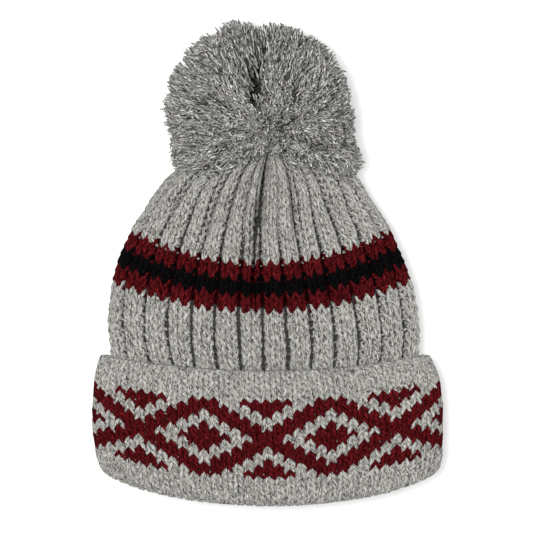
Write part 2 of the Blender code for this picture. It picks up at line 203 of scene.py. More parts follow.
@dataclass
class HatForm:
    """The hat's outer faces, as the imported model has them."""

    wall: float = 0.0055
    cuff_gap: float = 0.0010
    cuff_width: float = 0.230
    cuff_loft: float = 0.054
    cuff_height: float = 0.088
    body_width: float = 0.2065
    body_loft: float = 0.046
    stripe_start: float = 0.125
    stripe_band: float = 0.0104
    length: float = 0.2315
    gather_radius: float = 0.011
    neck_radius: float = 0.0065
    neck_lead: float = 0.0014
    neck_length: float = 0.0075
    neck_height: float = 0.034
    hem_y: float = -0.158
    pressed: float = 0.0008
    front_fullness: float = 2.35
    back_fullness: float = 4.2
    widest: float = 1.15
    ring_points: int = 361
    cuff_table: tuple[Course, ...] = field(default_factory=cuff_courses)
    body_table: tuple[Course, ...] = field(default_factory=body_courses)

    @property
    def fold_radius(self) -> float:
        """Outside radius of the fold at the hem."""
        return self.wall + self.cuff_gap / 2

    @property
    def body_depth(self) -> float:
        """Depth of the body's outer face under the cuff's."""
        return self.wall + self.cuff_gap

    @property
    def gather_y(self) -> float:
        """Place of the gather along the hat."""
        return self.hem_y + self.length

    def cuff_section(self, from_hem: float) -> Section:
        """The cuff's outer face.

        Args:
            from_hem: Distance from the hem.

        Returns:
            The section there.
        """
        share = from_hem / self.cuff_height
        stations = [course.along for course in self.cuff_table]

        def read(column: str) -> float:
            """One column of the table at this place."""
            return smooth_between(stations, [getattr(c, column) for c in self.cuff_table], share)

        return Section(
            y=self.hem_y + from_hem,
            half_width=read("width") * self.cuff_width / 2,
            span=read("width") * self.cuff_width / 2,
            half_loft=read("loft") * self.cuff_loft / 2,
            underside=read("underside") * self.cuff_loft - self.pressed,
            rise=read("rise") * self.cuff_width,
            corner=read("corner") * self.cuff_width,
            lean=read("lean") * self.cuff_width,
        )

    def neck_section(self, from_hem: float) -> Section:
        """The round neck that the crown is drawn into, from the gather on.

        Args:
            from_hem: Distance from the hem.

        Returns:
            The section there.
        """
        beyond = from_hem - self.length
        narrowing = min(max(beyond / self.neck_lead, 0.0), 1.0)
        radius = self.gather_radius + (self.neck_radius - self.gather_radius) * narrowing
        return Section(
            self.hem_y + from_hem, radius, radius, radius, self.neck_height - radius, 0.0, 0.0, 0.0
        )

    def body_section(self, from_hem: float) -> Section:
        """The body's outer face, which is inside the cuff up to the cuff's upper edge.

        Args:
            from_hem: Distance from the hem.

        Returns:
            The section there.
        """
        if from_hem <= self.cuff_height:
            return self.cuff_section(from_hem).inset(self.body_depth)
        if from_hem >= self.length:
            return self.neck_section(from_hem)
        share = (from_hem - self.cuff_height) / (self.length - self.cuff_height)
        first = self.cuff_section(self.cuff_height).inset(self.body_depth)
        last = self.neck_section(self.length)
        stations = [0.0, *(course.along for course in self.body_table), 1.0]

        def read(name: str, column: str, unit: float, offset: float = 0.0) -> float:
            """One column of the table at this place, between the two ends' own values."""
            values = [getattr(c, column) * unit + offset for c in self.body_table]
            ends = getattr(first, name), getattr(last, name)
            return smooth_between(stations, [ends[0], *values, ends[1]], share)

        return Section(
            y=self.hem_y + from_hem,
            half_width=read("half_width", "width", self.body_width / 2),
            span=read("span", "width", self.body_width / 2),
            half_loft=read("half_loft", "loft", self.body_loft / 2),
            underside=read("underside", "underside", self.body_loft, -self.pressed),
            rise=read("rise", "rise", self.body_width),
            corner=read("corner", "corner", self.body_width),
            lean=read("lean", "lean", self.body_width),
        )

    def ring(self, section: Section, places: np.ndarray, inward: float) -> tuple[np.ndarray, float]:
        """Points on a section.

        Args:
            section: The section.
            places: Shares of the way around it, from the middle of the front.
            inward: How far the whole ring is drawn inward.

        Returns:
            The points, and the length of the way around.
        """
        turn = np.linspace(0.0, 2 * math.pi, self.ring_points)
        sine, cosine = np.sin(turn), np.cos(turn)
        fullness = np.where(cosine >= 0, self.front_fullness, self.back_fullness)
        curve_x = section.half_width * np.sign(sine) * np.abs(sine) ** (2 / fullness)
        curve_z = section.half_loft * np.sign(cosine) * np.abs(cosine) ** (2 / fullness)
        length = path_lengths(np.stack([curve_x, curve_z], axis=1))
        at = places * length[-1]
        x = np.interp(at, length, curve_x) * (1 - inward / section.half_width)
        z = np.interp(at, length, curve_z) * (1 - inward / section.half_loft)
        across = np.clip(x / section.span, -self.widest, self.widest)
        y = section.y + section.rise * across**2 + section.corner * across**6
        height = section.underside + section.half_loft + z
        return np.stack([section.lean + x, y, height], axis=1), float(length[-1])


class Fabric:
    """The knitted tube as a sheet that can be read anywhere.

    A point of it is given by its share of the way around, its distance from the hem, and its depth
    under the cuff's outer face, which goes on as a smooth surface above the body.
    """

    COLUMNS = 336
    CUFF_STATIONS = 23
    BODY_STATIONS = 68
    NECK_STATIONS = 6

    def __init__(self, form: HatForm) -> None:
        """Reads the form into two grids: its face, and the way inward from it.

        Args:
            form: The hat's outer faces.
        """
        self.form = form
        neck_end = form.length + form.neck_length
        self.stations = np.concatenate(
            [
                np.linspace(0.0, form.cuff_height, self.CUFF_STATIONS)[:-1],
                np.linspace(form.cuff_height, form.length, self.BODY_STATIONS)[:-1],
                np.linspace(form.length, neck_end, self.NECK_STATIONS),
            ]
        )
        places = np.arange(self.COLUMNS) / self.COLUMNS
        face, inner, around = [], [], []
        for station in self.stations:
            in_cuff = station < form.cuff_height
            section = form.cuff_section(station) if in_cuff else form.body_section(station)
            start = 0.0 if in_cuff else -form.body_depth
            ring, length = form.ring(section, places, start)
            face.append(ring)
            inner.append(form.ring(section, places, start + form.body_depth)[0])
            around.append(length)
        self.face = np.array(face)
        self.inward = (np.array(inner) - self.face) / form.body_depth
        self.around = np.array(around)

    def read(self, grid: np.ndarray, place: np.ndarray, from_hem: np.ndarray) -> np.ndarray:
        """Reads a grid between its points.

        Args:
            grid: Vectors by station and column.
            place: Shares of the way around.
            from_hem: Distances from the hem.

        Returns:
            The vectors there.
        """
        at = np.clip(from_hem, self.stations[0], self.stations[-1] - 1e-9)
        row = np.searchsorted(self.stations, at, side="right") - 1
        part = ((at - self.stations[row]) / (self.stations[row + 1] - self.stations[row]))[:, None]
        column = (place % 1.0) * self.COLUMNS
        low = np.floor(column).astype(int) % self.COLUMNS
        high = (low + 1) % self.COLUMNS
        share = (column - np.floor(column))[:, None]
        near = grid[row, low] * (1 - share) + grid[row, high] * share
        far = grid[row + 1, low] * (1 - share) + grid[row + 1, high] * share
        return near * (1 - part) + far * part

    def at(self, place: np.ndarray, from_hem: np.ndarray, depth: np.ndarray) -> np.ndarray:
        """Points of the sheet.

        Args:
            place: Shares of the way around.
            from_hem: Distances from the hem.
            depth: Depths under the cuff's outer face.

        Returns:
            The points.
        """
        inward = self.read(self.inward, place, from_hem)
        return self.read(self.face, place, from_hem) + inward * depth[:, None]

    def width_around(self, from_hem: float) -> float:
        """Length of the way around at a distance from the hem."""
        return float(np.interp(from_hem, self.stations, self.around))


@dataclass(frozen=True)
class Fold:
    """A furrow that the gather pulls into the crown.

    Its place, half width and slant are shares of the way around. It begins at the start and has
    its full depth from the end on, both from the hem. Its foot lies aside by the slant.
    """

    place: float
    half_width: float
    depth: float
    start: float
    end: float
    slant: float = 0.0


@dataclass
class Drape:
    """How the soft fabric lies: ribs that wander, shallow dents, and folds from the gather."""

    wander: float = 0.0016
    long_wave: float = 0.021
    short_wave: float = 0.011
    dent: float = 0.00055
    dent_length: float = 0.0065
    fold_sharpness: float = 1.6
    gather: float = 0.2315
    deepest: float = 0.0190
    folds: tuple[Fold, ...] = (
        Fold(0.000, 0.0165, 0.0150, 0.095, 0.176, -0.012),
        Fold(-0.0015, 0.0060, 0.0085, 0.110, 0.170, -0.012),
        Fold(0.0714, 0.0080, 0.0085, 0.150, 0.190),
        Fold(-0.1071, 0.0080, 0.0090, 0.145, 0.190),
        Fold(-0.0700, 0.0070, 0.0070, 0.165, 0.200),
        Fold(0.1429, 0.0080, 0.0060, 0.172, 0.200),
        Fold(-0.0357, 0.0080, 0.0045, 0.180, 0.205),
        Fold(-0.1786, 0.0090, 0.0050, 0.172, 0.200),
        Fold(0.2143, 0.0090, 0.0045, 0.170, 0.195),
        Fold(0.5000, 0.0120, 0.0060, 0.165, 0.195),
        Fold(0.4286, 0.0090, 0.0040, 0.175, 0.200),
        Fold(-0.3929, 0.0090, 0.0040, 0.172, 0.198),
    )

    def drift(self, place: np.ndarray, from_hem: np.ndarray) -> np.ndarray:
        """How far the fabric has shifted sideways.

        Args:
            place: Shares of the way around.
            from_hem: Distances from the hem.

        Returns:
            Shifts, as shares of the way around.
        """
        turn = 2 * math.pi * place
        slow = np.sin(3 * turn + from_hem / self.long_wave + 1.3)
        quick = np.sin(11 * turn - from_hem / self.short_wave + 0.4)
        return self.wander * (0.6 * slow + 0.4 * quick)

    def sink(self, place: np.ndarray, from_hem: np.ndarray) -> np.ndarray:
        """How deep the dents and folds are.

        Args:
            place: Shares of the way around.
            from_hem: Distances from the hem.

        Returns:
            Extra depths.
        """
        turn = 2 * math.pi * place
        rise = from_hem / self.dent_length
        broad = np.sin(5 * turn + 0.31 * rise + 0.7) * np.sin(0.45 * rise + 2 * turn)
        fine = np.sin(13 * turn - 0.9 * rise) * np.sin(7 * turn + 1.3 * rise + 2.0)
        deep = self.dent * (0.6 * broad + 0.4 * fine + 0.25)
        for fold in self.folds:
            below = np.clip((self.gather - from_hem) / (self.gather - fold.end), 0.0, 1.0)
            off = (place - fold.place - fold.slant * below + 0.5) % 1.0 - 0.5
            shape = np.exp(-np.abs(off / fold.half_width) ** self.fold_sharpness)
            grown = np.clip((from_hem - fold.start) / (fold.end - fold.start), 0.0, 1.0)
            deep = deep + fold.depth * shape * eased(grown)
        return np.minimum(deep, self.deepest)


@dataclass(frozen=True)
class Ribbing:
    """The ribs: two knit stitches side by side, and a purl stitch sunk between each two ribs.

    The marks are places across one rib, from the middle of a purl stitch to the next, and the
    depths are shares of the furrow there. Every second furrow fades out toward the gather.
    """

    ribs: int = 28
    purl_share: float = 0.165
    furrow: float = 0.0056
    fade: float = 0.72
    fade_start: float = 0.152
    fade_length: float = 0.050
    slow_change: float = 0.13
    quick_change: float = 0.10
    change_length: float = 0.022
    full_girth: float = 0.40
    marks: tuple[float, ...] = (
        0.0, 0.07, 0.12, 0.18, 0.28, 0.42, 0.5, 0.58, 0.72, 0.82, 0.88, 0.93, 1.0
    )
    depths: tuple[float, ...] = (
        1, 0.90, 0.46, 0.15, 0.02, 0.05, 0.10, 0.05, 0.02, 0.15, 0.46, 0.90, 1
    )

    def sink(self, place: np.ndarray, from_hem: np.ndarray, around: np.ndarray) -> np.ndarray:
        """How deep the fabric lies under the backs of the ribs.

        Args:
            place: Shares of the way around.
            from_hem: Distances from the hem.
            around: Lengths of the way around there.

        Returns:
            Extra depths.
        """
        level = np.interp((place * self.ribs) % 1.0, self.marks, self.depths) * self.furrow
        rib = np.round(place * self.ribs)
        slow = self.slow_change * np.sin(2.4 * rib + from_hem / self.change_length)
        own = 1.0 + slow + self.quick_change * np.sin(5.1 * rib)
        gathered = np.clip((from_hem - self.fade_start) / self.fade_length, 0.0, 1.0)
        closing = self.fade * (rib % 2) * (0.8 + 0.2 * np.sin(2.1 * rib)) * gathered
        drawn_together = np.clip((around / self.full_girth) ** 0.35, 0.3, 1.0)
        return level * own * (1.0 - closing) * drawn_together


# ---------------------------------------------------------------- rows of the knitting


@dataclass
class RowPlan:
    """Where each row of knitting lies, from the cuff's upper edge (row 0) to the gather.

    A side towards the outside of the cuff is the fabric's face: it turns at the hem and is inside
    the body.
    """

    form: HatForm
    cuff_rows: int = 21
    fold_rows: int = 3
    inner_rows: int = 15
    lower_rows: int = 7
    stripe_rows: int = 6
    crown_rows: int = 14
    neck_rows: int = 3
    settling_rows: float = 2.5
    middle: float = 0.00275
    edge_roll: float = 0.0021
    edge_rows: float = 1.6
    edge_turn: float = math.pi / 1.7

    @property
    def hem(self) -> int:
        """The row where the fold begins."""
        return self.cuff_rows

    @property
    def inner(self) -> int:
        """The row where the inner leg begins."""
        return self.hem + self.fold_rows

    @property
    def lower(self) -> int:
        """The row where the body comes out of the cuff."""
        return self.inner + self.inner_rows

    @property
    def stripe(self) -> int:
        """The first row of the stripe."""
        return self.lower + self.lower_rows

    @property
    def crown(self) -> int:
        """The first row of the crown."""
        return self.stripe + self.stripe_rows

    @property
    def end(self) -> int:
        """The row at the gather."""
        return self.crown + self.crown_rows

    def settled(self, row: np.ndarray) -> np.ndarray:
        """How far the ribs have formed at rows past the hem's fold, from 0 to 1."""
        return np.clip((row - self.inner) / self.settling_rows, 0.0, 1.0)

    def station(self, row: np.ndarray) -> tuple[np.ndarray, np.ndarray, np.ndarray, np.ndarray]:
        """The middle of the fabric at rows, and the way to its face.

        Args:
            row: Row numbers, whole or between.

        Returns:
            Distance from the hem, depth, and the face's direction in both.
        """
        form = self.form
        fold = form.fold_radius
        turn_radius = fold - self.middle
        places = {
            0: form.cuff_height - self.edge_roll,
            self.hem: fold,
            self.inner: fold,
            self.lower: form.cuff_height,
            self.stripe: form.stripe_start,
            self.crown: form.stripe_start + 3 * form.stripe_band,
            self.end: form.length,
            self.end + self.neck_rows: form.length + form.neck_length,
        }
        from_hem = np.interp(row, list(places), list(places.values()))
        turn = np.clip((row - self.hem) / self.fold_rows, 0.0, 1.0) * math.pi
        from_hem = from_hem - turn_radius * np.sin(turn)
        depth = fold - turn_radius * np.cos(turn)
        roll = np.clip(-row, 0.0, self.edge_rows) / self.edge_rows * self.edge_turn
        from_hem = from_hem + self.edge_roll * np.sin(roll)
        depth = depth + self.edge_roll * (1 - np.cos(roll))
        toward = -np.sin(turn) + np.sin(roll)
        deeper = -np.cos(turn) * np.cos(roll)
        return from_hem, depth, toward, deeper


@dataclass
class Loop:
    """The way of the yarn through one stitch.

    The sway is a share of the stitch's width and the height is in rows. The swell takes the loop's
    legs out of the fabric, and the tuck takes its head in.
    """

    sway: float = 0.245
    height: float = 1.82
    swell: float = 0.00100
    tuck: float = 0.00022

    def path(self, t: np.ndarray) -> tuple[np.ndarray, np.ndarray, np.ndarray]:
        """Offsets within a stitch.

        Args:
            t: Shares of the way through the stitch.

        Returns:
            Shares of its width, shares of a row's height, and metres towards its knit side.
        """
        across = t + self.sway * np.sin(4 * math.pi * t)
        up = self.height / 2 * (1 - np.cos(2 * math.pi * t))
        out = -self.swell * np.cos(4 * math.pi * t) + self.tuck * np.cos(2 * math.pi * t)
        return across, up, out


def in_scene(name: str, data: bpy.types.ID) -> bpy.types.Object:
    """An object with this data, linked to the scene."""
    made = bpy.data.objects.new(name, data)
    bpy.context.scene.collection.objects.link(made)
    return made


def mesh_object(
    name: str, points: np.ndarray, faces: np.ndarray, maps: dict[str, np.ndarray]
) -> bpy.types.Object:
    """Makes a smooth-shaded object from arrays.

    Args:
        name: Its name.
        points: Its points.
        faces: Its faces, all with the same number of corners.
        maps: A place for each corner of the faces, by the map's name.

    Returns:
        The object, linked to the scene.
    """
    points = np.stack([points[:, 0], points[:, 1], np.maximum(points[:, 2], 0.0)], axis=1)
    mesh = bpy.data.meshes.new(name)
    mesh.vertices.add(len(points))
    mesh.vertices.foreach_set("co", points.astype(np.float32).ravel())
    mesh.loops.add(faces.size)
    mesh.loops.foreach_set("vertex_index", faces.astype(np.int32).ravel())
    mesh.polygons.add(len(faces))
    starts = np.arange(0, faces.size, faces.shape[1], dtype=np.int32)
    mesh.polygons.foreach_set("loop_start", starts)
    mesh.update(calc_edges=True)
    for label, places in maps.items():
        layer = mesh.uv_layers.new(name=label)
        layer.data.foreach_set("uv", places.astype(np.float32).ravel())
    mesh.validate()
    mesh.shade_smooth()
    return in_scene(name, mesh)


class YarnMesh:
    """A mesh of yarn, gathered strand by strand, with its own maps."""

    MARGIN = 0.04

    def __init__(self) -> None:
        """Starts with nothing in it."""
        self.points: list[np.ndarray] = []
        self.quads: list[np.ndarray] = []
        self.along: list[np.ndarray] = []
        self.cells: list[np.ndarray] = []
        self.inside: list[np.ndarray] = []
        self.point_count = 0
        self.cell_count = 0

    def add(
        self,
        rings: np.ndarray,
        lengths: np.ndarray,
        wanted: np.ndarray,
        per_cell: int,
        offset: float,
    ) -> None:
        """Adds a tube.

        Args:
            rings: Points by ring and side.
            lengths: Distance along the yarn at each ring, and one more for a closed tube.
            wanted: Numbers of the segments to keep.
            per_cell: How many segments share one cell of the baking map.
            offset: Where this strand's marl begins.
        """
        count, sides = rings.shape[:2]
        step = wanted[:, None]
        side = np.arange(sides)[None, :]
        following = (step + 1) % count
        nearer = (side + 1) % sides
        corners = [(step, side), (following, side), (following, nearer), (step, nearer)]
        quads = np.stack([ring * sides + at for ring, at in corners], axis=2).reshape(-1, 4)
        used, quads = np.unique(quads, return_inverse=True)
        self.points.append(rings.reshape(-1, 3)[used])
        self.quads.append(quads.reshape(-1, 4) + self.point_count)
        self.point_count += len(used)
        near, far = lengths[step], lengths[step + 1]
        along = np.stack([near, far, far, near], axis=2)
        along = np.broadcast_to(along, (len(wanted), sides, 4)) + offset
        around = np.stack([side, side, side + 1, side + 1], axis=2) / sides
        around = np.broadcast_to(around, along.shape)
        self.along.append(np.stack([along, around], axis=3).reshape(-1, 2))
        cell = step // per_cell
        unique, number = np.unique(cell, return_inverse=True)
        number = number.reshape(cell.shape) + self.cell_count
        self.cell_count += len(unique)
        local = step - cell * per_cell
        across = np.stack([local, local + 1, local + 1, local], axis=2) / per_cell
        inside = np.stack([np.broadcast_to(across, along.shape), around], axis=3)
        self.inside.append(inside.reshape(-1, 2))
        cells = np.broadcast_to(number[:, :, None], along.shape)
        self.cells.append(cells.reshape(-1))

    def bake_map(self, wide: float) -> np.ndarray:
        """The baking map: a cell of its own for each stitch.

        Args:
            wide: How many times wider than high a cell should be.

        Returns:
            A place on the map for each corner.
        """
        columns = max(1, math.ceil(math.sqrt(self.cell_count / wide)))
        rows = math.ceil(self.cell_count / columns)
        cells = np.concatenate(self.cells)
        inside = self.MARGIN + (1 - 2 * self.MARGIN) * np.concatenate(self.inside)
        corner = np.stack([cells % columns, cells // columns], axis=1)
        return (corner + inside) / np.array([columns, rows])

    def build(self, name: str, wide: float = 2.0) -> bpy.types.Object:
        """Makes the object.

        Args:
            name: Its name.
            wide: Shape of the baking map's cells.

        Returns:
            The object, linked to the scene.
        """
        maps = {"OFBake": self.bake_map(wide), "yarn": np.concatenate(self.along)}
        return mesh_object(name, np.concatenate(self.points), np.concatenate(self.quads), maps)


def unit(vectors: np.ndarray) -> np.ndarray:
    """The vectors at length 1."""
    return vectors / np.maximum(np.linalg.norm(vectors, axis=-1, keepdims=True), 1e-12)


def tube(
    points: np.ndarray, outward: np.ndarray, radius: np.ndarray, sides: int, closed: bool = True
) -> tuple[np.ndarray, np.ndarray]:
    """Rings of points around a strand of yarn.

    Args:
        points: The strand's middle line.
        outward: A direction at each point for the first side.
        radius: The yarn's radius at each point.
        sides: How many sides the yarn has.
        closed: Whether its end meets its start.

    Returns:
        The rings, and the distance along the strand at each, with one more for a closed strand.
    """
    if closed:
        tangent = np.roll(points, -1, axis=0) - np.roll(points, 1, axis=0)
        steps = np.linalg.norm(np.roll(points, -1, axis=0) - points, axis=1)
    else:
        tangent = np.gradient(points, axis=0)
        steps = np.linalg.norm(np.diff(points, axis=0), axis=1)
    tangent = unit(tangent)
    beside = unit(np.cross(tangent, outward))
    above = np.cross(beside, tangent)
    turn = (2 * math.pi * np.arange(sides) / sides)[None, :, None]
    ring = np.cos(turn) * above[:, None, :] + np.sin(turn) * beside[:, None, :]
    rings = points[:, None, :] + radius[:, None, None] * ring
    return rings, np.concatenate([[0.0], np.cumsum(steps)])


@dataclass
class Knitter:
    """Knits rows of loops into the fabric."""

    fabric: Fabric
    plan: RowPlan
    loop: Loop = field(default_factory=Loop)
    drape: Drape = field(default_factory=Drape)
    yarn_radius: float = 0.00152
    nominal_width: float = 0.0062
    uneven_side: float = 0.045
    uneven_up: float = 0.085
    uneven_out: float = 0.00022
    uneven_yarn: float = 0.09
    crossing: float = 0.14
    first_row_seed: int = 50
    widening: float = 0.55
    slimmest: float = 0.3
    proudest: float = 1.1
    thickest: float = 1.08
    tilt: float = 0.6

    def sides_of(self, knit_side: np.ndarray, t: np.ndarray) -> np.ndarray:
        """Which side the knit side is on, turned over where knit and purl stitches meet.

        Args:
            knit_side: 1 or -1 for each stitch.
            t: Shares of the way through a stitch.

        Returns:
            A side from -1 to 1 by stitch and share.
        """
        side = knit_side[:, None] * np.ones_like(t)[None, :]
        halves = (
            (np.roll(knit_side, 1), t, t[None, :] < 0.5),
            (np.roll(knit_side, -1), 1 - t, t[None, :] >= 0.5),
        )
        for neighbour, apart, half in halves:
            own = eased(np.clip(apart / self.crossing, 0, 1))
            shared = (neighbour + knit_side)[:, None] / 2
            side = np.where(half, shared * (1 - own) + side * own, side)
        return side

    def round(
        self,
        row: int,
        starts: np.ndarray,
        widths: np.ndarray,
        knit_side: np.ndarray,
        ribbing: Ribbing | None,
        steps: int,
        sides: int,
    ) -> tuple[np.ndarray, np.ndarray]:
        """Knits one row all the way around.

        Args:
            row: The row's number.
            starts: Place of each stitch's start, as a share of the way around.
            widths: Width of each stitch, as a share of the way around.
            knit_side: 1 where a stitch's knit side is the fabric's face and -1 where it isn't.
            ribbing: The ribs' shape, or nothing for plain knit.
            steps: Points in a stitch.
            sides: Sides of the yarn.

        Returns:
            The yarn's rings, and the distances along it.
        """
        chance = np.random.default_rng(SEED * 1000 + row + self.first_row_seed)
        stitches = len(starts)
        t = np.arange(steps) / steps
        across, up, out = self.loop.path(t)
        fade = np.sin(math.pi * t)[None, :] ** 2

        def uneven(size: float) -> np.ndarray:
            """Small differences from stitch to stitch, none where two meet."""
            return np.clip(chance.normal(0.0, size, (stitches, 1)), -2 * size, 2 * size) * fade

        place = starts[:, None] + widths[:, None] * (across[None, :] + uneven(self.uneven_side))
        height = row + up[None, :] + uneven(self.uneven_up)
        side = self.sides_of(knit_side, t)
        outward = out[None, :] * side + uneven(self.uneven_out) * side
        place, height, outward = place.ravel(), height.ravel(), outward.ravel()

        from_hem, depth, toward, deeper = self.plan.station(height)
        width = np.interp(from_hem, self.fabric.stations, self.fabric.around)
        local = np.repeat(widths, steps) * width / self.nominal_width
        slim = np.clip(local, 0.05, 1.3) ** self.widening
        if ribbing:
            depth = depth + self.plan.settled(height) * ribbing.sink(place, from_hem, width)
        outward = outward * np.clip(slim, self.slimmest, self.proudest)
        from_hem = from_hem + toward * outward
        depth = depth + deeper * outward
        place = place + self.drape.drift(place, from_hem)
        depth = depth + self.drape.sink(place, from_hem)
        points = self.fabric.at(place, from_hem, depth)
        away = -self.fabric.read(self.fabric.inward, place, from_hem)
        away[:, 1] += self.tilt * toward
        radius = self.yarn_radius * np.clip(slim, self.slimmest, self.thickest)
        radius = radius * (1 + uneven(self.uneven_yarn)).ravel()
        return tube(points, unit(away), radius, sides)


# ---------------------------------------------------------------- finishes


def new_group(
    name: str, inputs: dict[str, tuple[str, object]], outputs: dict[str, str]
) -> bpy.types.NodeTree:
    """Makes an empty shader node group.

    Args:
        name: Its name.
        inputs: Socket type and first value by name.
        outputs: Socket type by name.

    Returns:
        The group, with its input and output nodes.
    """
    group = bpy.data.node_groups.new(name, "ShaderNodeTree")
    for label, (kind, value) in inputs.items():
        socket = group.interface.new_socket(label, in_out="INPUT", socket_type=kind)
        if value is not None:
            socket.default_value = value
    for label, kind in outputs.items():
        group.interface.new_socket(label, in_out="OUTPUT", socket_type=kind)
    group.nodes.new("NodeGroupInput").name = "in"
    group.nodes.new("NodeGroupOutput").name = "out"
    return group


class NodeBench:
    """Short ways to add nodes to a tree."""

    def __init__(self, tree: bpy.types.NodeTree) -> None:
        """Works on this tree."""
        self.tree = tree

    def add(self, kind: str, **settings: object) -> bpy.types.Node:
        """Adds a node.

        Args:
            kind: Its type.
            settings: Values of its properties.

        Returns:
            The node.
        """
        node = self.tree.nodes.new(kind)
        for label, value in settings.items():
            setattr(node, label, value)
        return node

    def link(self, source: Socket, target: Socket) -> None:
        """Joins two sockets."""
        self.tree.links.new(source, target)

    def put(self, socket: Socket, value: object) -> None:
        """Joins a socket to another, or sets a number or colour on it.

        Args:
            socket: The input.
            value: The other socket, the number or the colour.
        """
        if isinstance(value, Socket):
            self.link(value, socket)
        else:
            socket.default_value = value

    def fill(self, node: bpy.types.Node, values: dict[str, object]) -> None:
        """Puts values into a node's inputs, by their names."""
        for label, value in values.items():
            self.put(node.inputs[label], value)

    def math(self, operation: str, *values: object, clamp: bool = False) -> Socket:
        """A Math node.

        Args:
            operation: Its operation.
            values: A number or a socket for each input.
            clamp: Whether the result is kept from 0 to 1.

        Returns:
            Its result.
        """
        node = self.add("ShaderNodeMath", operation=operation, use_clamp=clamp)
        for socket, value in zip(node.inputs, values):
            self.put(socket, value)
        return node.outputs[0]

    def times(self, first: object, second: object, clamp: bool = False) -> Socket:
        """One number or socket times another."""
        return self.math("MULTIPLY", first, second, clamp=clamp)

    def scaled(self, source: Socket, by: float, plus: float) -> Socket:
        """The source times one number, plus another."""
        return self.math("ADD", self.times(source, by), plus)

    def ramp(self, source: Socket, low: float, high: float) -> Socket:
        """0 below low and 1 above high, smooth between."""
        node = self.add("ShaderNodeMapRange", interpolation_type="SMOOTHSTEP")
        self.fill(node, {"Value": source, "From Min": low, "From Max": high})
        return node.outputs["Result"]

    def mix(self, share: object, first: object, second: object, blend: str = "MIX") -> Socket:
        """Mixes two colours.

        Args:
            share: How much of the second, as a number or a socket.
            first: A colour or a socket.
            second: A colour or a socket.
            blend: Way of mixing.

        Returns:
            The mixed colour.
        """
        node = self.add("ShaderNodeMix", data_type="RGBA", blend_type=blend)
        for number, value in ((0, share), (6, first), (7, second)):
            self.put(node.inputs[number], value)
        return node.outputs[2]


